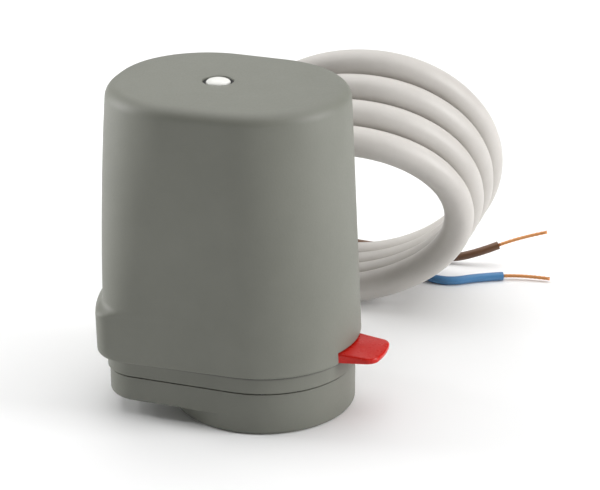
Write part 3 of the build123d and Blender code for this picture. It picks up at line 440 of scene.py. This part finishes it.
def around_fractions(breaks=()):
    """Where a plan's columns lie: denser on the arcs, and with some at the given nose shares."""
    marks = [-1.0, *breaks, 1.0]
    columns = []
    for low, high in zip(marks, marks[1:]):
        count = max(4, round(NOSE_COLUMNS * (high - low) / 2))
        columns += [("nose", low + (high - low) * k / count) for k in range(count)]
    runs = (("flank", FLANK_COLUMNS), ("corner", CORNER_COLUMNS), ("bow", BOW_COLUMNS))
    for part, count in runs:
        columns += [(part, k / count) for k in range(count)]
    for part, count in reversed(runs):
        columns += [(part, -(count - k) / count) for k in range(count)]
    return columns


def casing_plan(z, inset, proud, fractions):
    """The casing's plan at a level, set in by inset and with its end standing out by proud."""
    share = (z - PARTING_Z) / (CASING_TOP_Z - PARTING_Z)

    def at_level(sizes):
        low, high = sizes
        return low + (high - low) * share

    corner = at_level(CORNER_R)
    corner += (BULGE_CORNER - corner) * (proud / BULGE_PROUD) ** 2
    return end_outline(
        (at_level(NOSE_X), at_level(NOSE_R)),
        at_level(HALF_WIDTH),
        corner,
        at_level(END_X) - proud,
        at_level(BOW_R),
        inset,
        fractions,
    )


def bulge_proud(z):
    """How far the swelling stands out at a level."""
    if z <= PARTING_Z + BULGE_ROUND:
        drop = 1 - (z - PARTING_Z) / BULGE_ROUND
        return BULGE_PROUD * math.sqrt(max(0.0, 1 - drop * drop))
    if z <= BULGE_FULL_Z:
        return BULGE_PROUD
    if z >= BULGE_FULL_Z + BULGE_EASE:
        return 0.0
    return BULGE_PROUD * (1 + math.cos(math.pi * (z - BULGE_FULL_Z) / BULGE_EASE)) / 2


def bake(piece, angle=35.0):
    """Applies the modifiers of a piece and shades it smooth between sharp edges."""
    mesh = evaluated_mesh(piece)
    piece.modifiers.clear()
    piece.data = mesh
    mesh.shade_smooth()
    mesh.set_sharp_from_angle(angle=math.radians(angle))
    return piece


notch_start = NOTCH_START / NOSE_SPAN
notch_end = NOTCH_END / NOSE_SPAN
columns = around_fractions((notch_start, notch_end))
start_column = columns.index(("nose", notch_start))
end_column = columns.index(("nose", notch_end))

# the walls, with more levels where the lower edge, the notch and the swelling need them
levels = [*SEAM_ROLL, 14.2, 14.6, 15.1, 15.7, NOTCH_TOP, 17.0, 18.5, 20.5, 22.0, BULGE_FULL_Z]
levels += [BULGE_FULL_Z + BULGE_EASE * k / EASE_ROWS for k in range(1, EASE_ROWS + 1)]
high_start = levels[-1]
high_span = ROLL_LOW_Z - high_start
levels += [high_start + high_span * k / WALL_ROWS for k in range(1, WALL_ROWS + 1)]
outer_rows = []
inner_rows = []
for z in levels:
    plan = casing_plan(z, SEAM_ROLL.get(z, 0.0), bulge_proud(z), columns)
    outer_rows.append([(x, y, z) for x, y in plan])
    plan = casing_plan(z, CASING_WALL, 0.0, columns)
    inner_rows.append([(x, y, z) for x, y in plan])

# the rolled edge outside, and inside the short run up to the roof
for k in range(1, ROLL_ROWS + 1):
    roll = math.pi / 2 * k / ROLL_ROWS
    z = ROLL_LOW_Z + TOP_FILLET * math.sin(roll)
    plan = casing_plan(z, TOP_FILLET * (1 - math.cos(roll)), 0.0, columns)
    outer_rows.append([(x, y, z) for x, y in plan])
    low_z = ROLL_LOW_Z + (ROOF_Z - ROLL_LOW_Z) * k / ROLL_ROWS
    plan = casing_plan(low_z, CASING_WALL + ROOF_INSET * k / ROLL_ROWS, 0.0, columns)
    inner_rows.append([(x, y, low_z) for x, y in plan])

# the roof, whose rings close in on the indicator's hole
for k in range(1, ROOF_ROWS + 1):
    share = k / ROOF_ROWS
    for rows, z in ((outer_rows, CASING_TOP_Z), (inner_rows, ROOF_Z)):
        edge = rows[len(levels) + ROLL_ROWS - 1]
        row = []
        for x, y, _ in edge:
            reach = math.hypot(x - HOLE_X, y)
            scale = (reach + (HOLE_R - reach) * share) / reach
            row.append((HOLE_X + (x - HOLE_X) * scale, y * scale, z))
        rows.append(row)

# the notch's front wall runs along the finger tab's edge, so the inner skin is turned there
slant = math.radians(NOTCH_SLANT)
for row in inner_rows[:NOTCH_SLANT_ROWS]:
    for c, (x, y, z) in enumerate(row):
        azimuth = math.degrees(math.atan2(y, x))
        pull = max(0.0, 1 - abs(azimuth - NOTCH_START) / NOTCH_SLANT_REACH)
        turn = -slant * pull * pull * (3 - 2 * pull)
        along, across = math.cos(turn), math.sin(turn)
        row[c] = (x * along - y * across, x * across + y * along, z)


def shell(outer, inner, is_open):
    """Thick skin from two matching grids. Where is_open says so the wall is cut away."""
    rows, count = len(outer), len(outer[0])
    vertices = [p for row in outer for p in row] + [p for row in inner for p in row]
    offset = rows * count
    faces = []

    def solid(r, c):
        return 0 <= r < rows - 1 and not is_open(r, c % count)

    for r in range(rows - 1):
        for c in range(count):
            if not solid(r, c):
                continue
            d = (c + 1) % count
            a, b = r * count + c, r * count + d
            e, f = (r + 1) * count + d, (r + 1) * count + c
            faces.append((a, b, e, f))
            faces.append((offset + f, offset + e, offset + b, offset + a))
            if not solid(r - 1, c):
                faces.append((b, a, offset + a, offset + b))
            if not solid(r + 1, c):
                faces.append((f, e, offset + e, offset + f))
            if not solid(r, c - 1):
                faces.append((a, f, offset + f, offset + a))
            if not solid(r, c + 1):
                faces.append((e, b, offset + b, offset + e))
    used = sorted({index for face in faces for index in face})
    place = {index: k for k, index in enumerate(used)}
    kept = [tuple(place[index] for index in face) for face in faces]
    return [vertices[index] for index in used], kept


notch_row = levels.index(NOTCH_TOP)
points, faces = shell(
    outer_rows, inner_rows, lambda r, c: r < notch_row and start_column <= c < end_column
)
casing = link_mesh("casing_shell", points, faces)
soft_edge = casing.modifiers.new("soft_edge", "BEVEL")
soft_edge.width = EDGE_R * MM
soft_edge.segments = 2
soft_edge.limit_method = "ANGLE"
soft_edge.angle_limit = math.radians(50)
soft_edge.use_clamp_overlap = False
bake(casing)
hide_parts("casing")
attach(casing, "housing")
shell_grey = surface_material(
    "shell_grey", dark=(0.172, 0.176, 0.148), light=(0.192, 0.196, 0.166),
    rough=(0.42, 0.60), grain=2200.0, depth=0.00004,
)
casing.data.materials.append(shell_grey)

# ---------------------------------------------------------------------------
# Base: grey glass-filled nylon with the valve collar, the deck over it and the foot for the
# cable. It is moulded in one piece and closed from above by the casing, which it locates.
JOIN_DISTANCE = 0.00001
SHARP_ANGLE = math.radians(32)


def soft_shading_tree():
    """Joins a solid's loose triangles and shades them smooth between its sharp edges."""
    tree = bpy.data.node_groups.new("Soft shading", "GeometryNodeTree")
    tree.interface.new_socket("Geometry", in_out="INPUT", socket_type="NodeSocketGeometry")
    for label, value in (("Join distance", JOIN_DISTANCE), ("Sharp angle", SHARP_ANGLE)):
        size = tree.interface.new_socket(label, in_out="INPUT", socket_type="NodeSocketFloat")
        size.default_value = value
    tree.interface.new_socket("Geometry", in_out="OUTPUT", socket_type="NodeSocketGeometry")
    nodes = tree.nodes
    source = nodes.new("NodeGroupInput")
    merge = nodes.new("GeometryNodeMergeByDistance")
    smooth = nodes.new("GeometryNodeSetShadeSmooth")
    crease = nodes.new("GeometryNodeSetShadeSmooth")
    crease.domain = "EDGE"
    crease.inputs["Shade Smooth"].default_value = False
    angle = nodes.new("GeometryNodeInputMeshEdgeAngle")
    sharper = nodes.new("FunctionNodeCompare")
    sharper.operation = "GREATER_THAN"
    result = nodes.new("NodeGroupOutput")
    connect(
        tree,
        (source.outputs["Geometry"], merge.inputs["Geometry"]),
        (source.outputs["Join distance"], merge.inputs["Distance"]),
        (merge.outputs["Geometry"], smooth.inputs["Geometry"]),
        (smooth.outputs["Geometry"], crease.inputs["Geometry"]),
        (angle.outputs["Unsigned Angle"], sharper.inputs["A"]),
        (source.outputs["Sharp angle"], sharper.inputs["B"]),
        (sharper.outputs["Result"], crease.inputs["Selection"]),
        (crease.outputs["Geometry"], result.inputs["Geometry"]),
    )
    return tree


soft_shading = soft_shading_tree()


def dress(material, *names):
    """Gives CAD nodes a finish and smooth shading."""
    for name in names:
        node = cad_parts[name]
        node.data.materials.clear()
        node.data.materials.append(material)
        shade = node.modifiers.new("soft_shading", "NODES")
        shade.node_group = soft_shading


base_grey = surface_material(
    "base_grey", dark=(0.165, 0.169, 0.142), light=(0.185, 0.189, 0.160),
    rough=(0.42, 0.60), grain=2200.0, depth=0.00004,
)


def paint_seam_shade(material, low, high, share):
    """Painted shade in a seam: from low to high, in millimetres, a finish falls to a share of its
    colour.
    """
    nodes = material.node_tree.nodes
    shader = nodes["Principled BSDF"]
    colour = shader.inputs["Base Color"].links[0].from_socket
    where = nodes.new("ShaderNodeTexCoord")
    split = nodes.new("ShaderNodeSeparateXYZ")
    fade = nodes.new("ShaderNodeMapRange")
    fade.interpolation_type = "SMOOTHSTEP"
    fade.inputs["From Min"].default_value = low * MM
    fade.inputs["From Max"].default_value = high * MM
    fade.inputs["To Min"].default_value = 1.0
    fade.inputs["To Max"].default_value = share
    mix = nodes.new("ShaderNodeMix")
    mix.data_type = "RGBA"
    mix.blend_type = "MULTIPLY"
    mix.inputs[0].default_value = 1.0
    connect(
        material.node_tree,
        (where.outputs["Object"], split.inputs[0]),
        (split.outputs["Z"], fade.inputs["Value"]),
        (colour, mix.inputs[6]),
        (fade.outputs["Result"], mix.inputs[7]),
        (mix.outputs[2], shader.inputs["Base Color"]),
    )


# painted shade: the base's colour falls to 30 % just under the casing's lower edge, where the
# casing's overhang shades it
paint_seam_shade(base_grey, low=12.9, high=13.6, share=0.30)
dress(base_grey, "base")

# ---------------------------------------------------------------------------
# Release lever: a ring in glossy red acetal with three cam slots and a finger tab, moulded
# with rounded edges. It snaps round the hub and its tab comes out through the casing's notch.
LEVER_EDGE = 0.42
LEVER_EDGE_STEPS = 4
LEVER_RING_R = 18.2
WELD_DISTANCE = 0.002
FLAT_ANGLE = math.radians(1.0)
CORNER_ANGLE = math.radians(25)


def rounded_copy(name, node, width, segments, is_rounded):
    """Copy of a CAD solid with its flat faces joined up and the chosen sharp edges rounded."""
    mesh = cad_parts[node].data.copy()
    mesh.materials.clear()
    work = bmesh.new()
    work.from_mesh(mesh)
    bmesh.ops.remove_doubles(work, verts=work.verts, dist=WELD_DISTANCE * MM)
    bmesh.ops.dissolve_limit(work, angle_limit=FLAT_ANGLE, verts=work.verts, edges=work.edges)
    weight = work.edges.layers.float.new("bevel_weight_edge")
    for edge in work.edges:
        if len(edge.link_faces) != 2:
            continue
        middle = (edge.verts[0].co + edge.verts[1].co) / (2 * MM)
        if edge.calc_face_angle() > CORNER_ANGLE and is_rounded(middle):
            edge[weight] = 1.0
    work.to_mesh(mesh)
    work.free()
    piece = link_object(name, mesh)
    soft = piece.modifiers.new("soft_edges", "BEVEL")
    soft.limit_method = "WEIGHT"
    soft.width = width * MM
    soft.segments = segments
    soft.use_clamp_overlap = False
    return bake(piece)


lever_red = surface_material(
    "lever_red", dark=(0.50, 0.007, 0.003), light=(0.56, 0.011, 0.004),
    rough=(0.24, 0.32), grain=700.0, depth=0.000003, mottle=25.0, specular=0.30,
)
lever = rounded_copy(
    "release_lever_moulded",
    "release_lever",
    width=LEVER_EDGE,
    segments=LEVER_EDGE_STEPS,
    is_rounded=lambda place: math.hypot(place.x, place.y) > LEVER_RING_R,
)
lever.data.materials.append(lever_red)
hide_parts("release_lever")
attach(lever, "lever")

# ---------------------------------------------------------------------------
# Jaws, their pins and the plate under them: stamped and turned zinc-plated steel. The plate
# is screwed up against the deck, and the lever's slots drive the pins.
bright_steel = surface_material(
    "bright_steel", dark=(0.50, 0.50, 0.51), light=(0.62, 0.62, 0.63),
    rough=(0.25, 0.42), grain=1800.0, depth=0.00001, metallic=1.0,
)
dress(bright_steel, "jaw_retainer")
dress(bright_steel, "jaw_a", "jaw_b", "jaw_c")
dress(bright_steel, "jaw_pin_a", "jaw_pin_b", "jaw_pin_c")

# ---------------------------------------------------------------------------
# Screws: plated steel, with a cross recess in the head and a rolled thread. Two hold the
# casing from below, four the motor's stand, three the plate and two the cable's clamp.
HEAD_SIDES = 32
HEAD_BANDS = 3
HEAD_RINGS = 2
SHANK_SIDES = 20
THREAD_STEPS = 16
# shares of the head's radius and height, of the shank's length and of the thread's pitch
RECESS_LENGTH = 1.15
RECESS_WIDTH = 0.26
RECESS_MIDDLE = 0.9
THREADED_LENGTH = 0.86
THREAD_END = 0.96
THREAD_SECTION = 0.24


def screw_tree():
    """One screw on every point: a head, its cross recess, a shank and a spiral thread."""
    tree = bpy.data.node_groups.new("Machine screws", "GeometryNodeTree")
    face = tree.interface
    face.new_socket("Geometry", in_out="INPUT", socket_type="NodeSocketGeometry")
    head_sizes = ("Head radius", "Head height", "Seat radius")
    for label in (*head_sizes, "Shank radius", "Shank length", "Thread pitch"):
        face.new_socket(label, in_out="INPUT", socket_type="NodeSocketFloat")
    face.new_socket("Lean", in_out="INPUT", socket_type="NodeSocketVector")
    face.new_socket("Finish", in_out="INPUT", socket_type="NodeSocketMaterial")
    face.new_socket("Geometry", in_out="OUTPUT", socket_type="NodeSocketGeometry")
    new = tree.nodes.new
    given = new("NodeGroupInput").outputs

    def share_of(label, share):
        """A size of the screw times a share."""
        node = new("ShaderNodeMath")
        node.operation = "MULTIPLY"
        tree.links.new(given[label], node.inputs[0])
        node.inputs[1].default_value = share
        return node.outputs[0]

    def placed(mesh, height):
        """Moves a piece of the screw up or down its axis."""
        lift = new("ShaderNodeCombineXYZ")
        move = new("GeometryNodeTransform")
        connect(
            tree,
            (height, lift.inputs["Z"]),
            (mesh, move.inputs["Geometry"]),
            (lift.outputs[0], move.inputs["Translation"]),
        )
        return move.outputs[0]

    # head: a cone frustum, so that a countersunk head is the same tree with a smaller seat
    head = new("GeometryNodeMeshCone")
    head.inputs["Vertices"].default_value = HEAD_SIDES
    head.inputs["Side Segments"].default_value = HEAD_BANDS
    head.inputs["Fill Segments"].default_value = HEAD_RINGS
    connect(
        tree,
        (given["Head radius"], head.inputs["Radius Top"]),
        (given["Seat radius"], head.inputs["Radius Bottom"]),
        (given["Head height"], head.inputs["Depth"]),
    )
    # cross recess, sunk to just over half of the head
    arms = new("GeometryNodeJoinGeometry")
    for turned in (False, True):
        arm = new("GeometryNodeMeshCube")
        size = new("ShaderNodeCombineXYZ")
        length = share_of("Head radius", RECESS_LENGTH)
        width = share_of("Head radius", RECESS_WIDTH)
        long_axis, short_axis = ("Y", "X") if turned else ("X", "Y")
        connect(
            tree,
            (length, size.inputs[long_axis]),
            (width, size.inputs[short_axis]),
            (given["Head height"], size.inputs["Z"]),
            (size.outputs[0], arm.inputs["Size"]),
            (arm.outputs["Mesh"], arms.inputs[0]),
        )
    recess = placed(arms.outputs[0], share_of("Head height", RECESS_MIDDLE))
    cut = new("GeometryNodeMeshBoolean")
    cut.operation = "DIFFERENCE"
    cut.solver = "EXACT"
    cut.inputs["Self Intersection"].default_value = True
    connect(tree, (head.outputs["Mesh"], cut.inputs["Mesh 1"]), (recess, cut.inputs["Mesh 2"]))
    # shank, from the head's seat down to a flat end
    shank = new("GeometryNodeMeshCylinder")
    shank.inputs["Vertices"].default_value = SHANK_SIDES
    connect(
        tree,
        (given["Shank radius"], shank.inputs["Radius"]),
        (given["Shank length"], shank.inputs["Depth"]),
    )
    shank_mesh = placed(shank.outputs["Mesh"], share_of("Shank length", -0.5))
    # thread: a spiral of triangular section round the shank
    spiral = new("GeometryNodeCurveSpiral")
    spiral.inputs["Resolution"].default_value = THREAD_STEPS
    threaded = share_of("Shank length", THREADED_LENGTH)
    turns = new("ShaderNodeMath")
    turns.operation = "DIVIDE"
    connect(
        tree,
        (threaded, turns.inputs[0]),
        (given["Thread pitch"], turns.inputs[1]),
        (turns.outputs[0], spiral.inputs["Rotations"]),
        (threaded, spiral.inputs["Height"]),
        (given["Shank radius"], spiral.inputs["Start Radius"]),
        (given["Shank radius"], spiral.inputs["End Radius"]),
    )
    section = new("GeometryNodeCurvePrimitiveCircle")
    section.inputs["Resolution"].default_value = 3
    tree.links.new(share_of("Thread pitch", THREAD_SECTION), section.inputs["Radius"])
    sweep = new("GeometryNodeCurveToMesh")
    sweep.inputs["Fill Caps"].default_value = True
    connect(
        tree,
        (spiral.outputs[0], sweep.inputs["Curve"]),
        (section.outputs["Curve"], sweep.inputs["Profile Curve"]),
    )
    thread = placed(sweep.outputs[0], share_of("Shank length", -THREAD_END))
    whole = new("GeometryNodeJoinGeometry")
    for mesh in (cut.outputs["Mesh"], shank_mesh, thread):
        tree.links.new(mesh, whole.inputs[0])
    spread = new("GeometryNodeInstanceOnPoints")
    real = new("GeometryNodeRealizeInstances")
    paint = new("GeometryNodeSetMaterial")
    result = new("NodeGroupOutput")
    connect(
        tree,
        (given["Geometry"], spread.inputs["Points"]),
        (whole.outputs[0], spread.inputs["Instance"]),
        (given["Lean"], spread.inputs["Rotation"]),
        (spread.outputs[0], real.inputs["Geometry"]),
        (real.outputs[0], paint.inputs["Geometry"]),
        (given["Finish"], paint.inputs["Material"]),
        (paint.outputs[0], result.inputs[0]),
    )
    return tree


machine_screws = screw_tree()


def place_screws(name, node, places, head, seat_r, shank, pitch, heads_down=False):
    """Screws at points under their heads. Head and shank are (radius, length), in millimetres."""
    mesh = bpy.data.meshes.new(name)
    mesh.from_pydata([tuple(v * MM for v in place) for place in places], [], [])
    piece = link_object(name, mesh)
    modifier = piece.modifiers.new("screws", "NODES")
    modifier.node_group = machine_screws
    values = {
        "Head radius": head[0] * MM,
        "Head height": head[1] * MM,
        "Seat radius": seat_r * MM,
        "Shank radius": shank[0] * MM,
        "Shank length": shank[1] * MM,
        "Thread pitch": pitch * MM,
        "Lean": (math.pi if heads_down else 0.0, 0.0, 0.0),
        "Finish": bright_steel,
    }
    for item in machine_screws.interface.items_tree:
        if item.in_out == "INPUT" and item.name in values:
            modifier[item.identifier] = values[item.name]
    piece.update_tag()
    bake(piece, angle=30.0)
    turn_outwards(piece.data)
    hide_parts(node)
    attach(piece, "housing")
    return piece


def on_circle(radius, azimuths, z):
    """Points on a level circle round the valve's axis, at azimuths in degrees."""
    turns = [math.radians(azimuth) for azimuth in azimuths]
    return [(radius * math.cos(turn), radius * math.sin(turn), z) for turn in turns]


place_screws(
    "casing_screws_threaded", "casing_screws", [(-28.4, 8.0, 5.5), (-28.4, -8.0, 5.5)],
    head=(2.4, 1.6), seat_r=2.4, shank=(1.15, 22.0), pitch=0.8, heads_down=True,
)
place_screws(
    "support_screws_threaded", "support_screws", on_circle(9.7, (45, 135, 225, 315), 18.15),
    head=(2.0, 1.5), seat_r=2.0, shank=(1.0, 5.2), pitch=0.6,
)
place_screws(
    "retainer_screws_threaded", "retainer_screws", on_circle(10.4, (0, 120, 240), 9.2),
    head=(1.8, 0.88), seat_r=0.9, shank=(0.85, 2.9), pitch=0.5, heads_down=True,
)
place_screws(
    "clamp_screws_threaded", "clamp_screws", [(-27.1, 12.75, 11.7), (-18.3, 12.75, 11.7)],
    head=(1.15, 1.3), seat_r=1.15, shank=(0.72, 6.3), pitch=0.5,
)

# ---------------------------------------------------------------------------
# Stand, yoke and plunger: black glass-filled nylon. The stand is screwed to the hub and holds
# the motor, and the yoke is lifted by the motor's piston and carries the plunger below.
dark_nylon = surface_material(
    "dark_nylon", dark=(0.030, 0.031, 0.033), light=(0.045, 0.046, 0.048),
    rough=(0.45, 0.62), grain=2000.0, depth=0.00003,
)
dress(dark_nylon, "wax_support", "yoke", "plunger")

# ---------------------------------------------------------------------------
# Wax motor: a turned brass cylinder full of wax with a steel piston, standing on a ceramic
# heater disc between two brass contacts. It is held in the stand's cradle.
turned_brass = surface_material(
    "turned_brass", dark=(0.56, 0.38, 0.13), light=(0.70, 0.50, 0.20),
    rough=(0.24, 0.38), grain=1800.0, depth=0.00001, metallic=1.0,
)
heater_ceramic = surface_material(
    "heater_ceramic", dark=(0.16, 0.14, 0.12), light=(0.22, 0.19, 0.16),
    rough=(0.70, 0.85), grain=1500.0, depth=0.00004,
)
dress(turned_brass, "wax_cylinder", "lower_contact", "upper_contact")
dress(heater_ceramic, "heater_disc")
dress(bright_steel, "wax_piston")

# ---------------------------------------------------------------------------
# Closing spring: round spring steel wire between the casing's roof and the yoke's crown. It
# is wound on a mandrel and in the valve shortens as the motor lifts the crown; here it keeps its
# length.
SPRING_LOW = 55.0
SPRING_MEAN_R = 5.6
SPRING_WIRE_R = 0.8
SPRING_PITCH = 3.05
SPRING_STEPS_PER_TURN = 36
SPRING_SIDES = 12


def round_wire(name, rings, radius, sides):
    """Closed tube of wire from rings of (centre, side, up), in millimetres."""
    vertices = []
    for centre, side, up in rings:
        for k in range(sides):
            angle = 2 * math.pi * k / sides
            offset = side * (radius * math.cos(angle))
            vertices.append(centre + offset + up * (radius * math.sin(angle)))
    return link_mesh(name, vertices, tube_faces(0, len(rings), sides))


spring_span = ROOF_Z - SPRING_LOW - 2 * SPRING_WIRE_R
spring_turns = spring_span / SPRING_PITCH
spring_steps = int(spring_turns * SPRING_STEPS_PER_TURN)
rings = []
for k in range(spring_steps + 1):
    angle = 2 * math.pi * spring_turns * k / spring_steps
    outwards = Vector((math.cos(angle), math.sin(angle), 0.0))
    rise = SPRING_PITCH * angle / (2 * math.pi)
    centre = outwards * SPRING_MEAN_R + Vector((0.0, 0.0, SPRING_LOW + SPRING_WIRE_R + rise))
    rings.append((centre, outwards, Vector((0.0, 0.0, 1.0))))
spring = round_wire("closing_spring_wire", rings, SPRING_WIRE_R, SPRING_SIDES)
spring.data.shade_smooth()
spring_wire = surface_material(
    "spring_wire", dark=(0.28, 0.28, 0.30), light=(0.40, 0.40, 0.42),
    rough=(0.28, 0.42), grain=1800.0, depth=0.00001, metallic=1.0,
)
spring.data.materials.append(spring_wire)
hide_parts("closing_spring")
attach(spring, "housing")
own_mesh(spring)

# ---------------------------------------------------------------------------
# Indicator: a glossy white acetal pin with a domed head, pressed into the yoke's crown, and
# the black rubber ring that seals it in the casing's hole.
PIN_R = 2.65
PIN_TOP = 72.2
PIN_SHOULDER = 71.25
PIN_HEAD_LOW = 62.0
PIN_STEM_R = 1.5
PIN_LOW = 55.0
PIN_SPIGOT_R = 1.1
PIN_SPIGOT_LOW = 52.2
PIN_CHAMFER = 0.3
DOME_STEPS = 10
PIN_SIDES = 48


def turned_piece(name, profile, x, sides):
    """Piece turned from a profile of (radius, height), in millimetres, about an axis at x."""
    vertices = []
    for radius, z in profile:
        for k in range(sides):
            angle = 2 * math.pi * k / sides
            vertices.append((x + radius * math.cos(angle), radius * math.sin(angle), z))
    return link_mesh(name, vertices, tube_faces(0, len(profile), sides))


pin_profile = [
    (PIN_SPIGOT_R, PIN_SPIGOT_LOW),
    (PIN_SPIGOT_R, PIN_LOW),
    (PIN_STEM_R, PIN_LOW),
    (PIN_STEM_R, PIN_HEAD_LOW),
    (PIN_R - PIN_CHAMFER, PIN_HEAD_LOW),
    (PIN_R, PIN_HEAD_LOW + PIN_CHAMFER),
    (PIN_R, PIN_SHOULDER),
]
for k in range(1, DOME_STEPS):
    roll = math.pi / 2 * k / DOME_STEPS
    rise = (PIN_TOP - PIN_SHOULDER) * math.sin(roll)
    pin_profile.append((PIN_R * math.cos(roll), PIN_SHOULDER + rise))
pin = turned_piece("indicator_pin_turned", pin_profile, HOLE_X, PIN_SIDES)
bake(pin, angle=40.0)
pin_white = surface_material(
    "pin_white", dark=(0.78, 0.78, 0.74), light=(0.84, 0.84, 0.80),
    rough=(0.14, 0.22), grain=900.0, depth=0.000004, mottle=25.0,
)
pin.data.materials.append(pin_white)
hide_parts("indicator_pin")
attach(pin, "carriage")
seal_rubber = surface_material(
    "seal_rubber", dark=(0.010, 0.010, 0.010), light=(0.018, 0.018, 0.018),
    rough=(0.60, 0.75), grain=2000.0, depth=0.00003,
)
dress(seal_rubber, "indicator_seal")

# ---------------------------------------------------------------------------
# Electrical end: a white nylon terminal block and cable boot, a black clamp bar over the
# sheath, and the sheath and cores that run in to the terminals.
white_nylon = surface_material(
    "white_nylon", dark=(0.66, 0.65, 0.60), light=(0.74, 0.73, 0.68),
    rough=(0.40, 0.55), grain=1600.0, depth=0.00003,
)
dress(white_nylon, "terminal_block", "cable_gland")
dress(dark_nylon, "cable_clamp")
dress(sheath_pvc, "sheath_inside")
dress(brown_pvc, "inner_core_brown")
dress(blue_pvc, "inner_core_blue")

# ---------------------------------------------------------------------------
# Studio: a white matt floor that runs on behind the head as its backdrop, a broad light from
# above, and weaker ones from behind, from both sides and from the front left.
FLOOR_REACH = 6.0
FLOOR_WHITE = 0.90
AIR_LIGHT = 0.03

corners = [(-1, -1), (1, -1), (1, 1), (-1, 1)]
floor_mesh = bpy.data.meshes.new("studio_floor")
floor_mesh.from_pydata(
    [(x * FLOOR_REACH, y * FLOOR_REACH, 0.0) for x, y in corners], [], [(0, 1, 2, 3)]
)
floor = link_object("studio_floor", floor_mesh)
floor_paint = bpy.data.materials.new("floor_paint")
floor_paint.use_nodes = True
floor_shader = floor_paint.node_tree.nodes["Principled BSDF"]
floor_shader.inputs["Base Color"].default_value = (*[FLOOR_WHITE] * 3, 1.0)
floor_shader.inputs["Roughness"].default_value = 0.9
floor_mesh.materials.append(floor_paint)

world = bpy.data.worlds.new("studio_air")
world.use_nodes = True
air = world.node_tree.nodes["Background"]
air.inputs["Color"].default_value = (1.0, 1.0, 1.0, 1.0)
air.inputs["Strength"].default_value = AIR_LIGHT
bpy.context.scene.world = world
bpy.context.scene.view_settings.view_transform = "Standard"


def soft_light(name, place, aim_at, watts, size):
    """Rectangular lamp of (width, height), in metres, at a place and facing a point."""
    data = bpy.data.lights.new(name, "AREA")
    data.energy = watts
    data.shape = "RECTANGLE"
    data.size, data.size_y = size
    light = link_object(name, data)
    light.location = place
    beam = Vector(aim_at) - light.location
    light.rotation_euler = beam.to_track_quat("-Z", "Y").to_euler()


for name, place, aim_at, watts, size in (
    ("overhead", (0.0, 0.45, 1.5), (0.0, 0.30, 0.0), 34.0, (2.4, 2.4)),
    ("back", (-0.38, 1.0, 0.45), (0.0, 0.0, 0.05), 1.6, (1.4, 0.5)),
    ("key_right", (0.95, 0.14, 0.35), (0.0, 0.0, 0.04), 8.0, (0.35, 0.6)),
    ("fill_left", (-1.0, -0.02, 0.35), (0.0, 0.0, 0.04), 8.0, (0.5, 0.7)),
    ("fill_front_left", (-0.55, -0.85, 0.30), (0.0, 0.0, 0.04), 0.25, (0.3, 0.5)),
):
    soft_light(name, place, aim_at, watts, size)
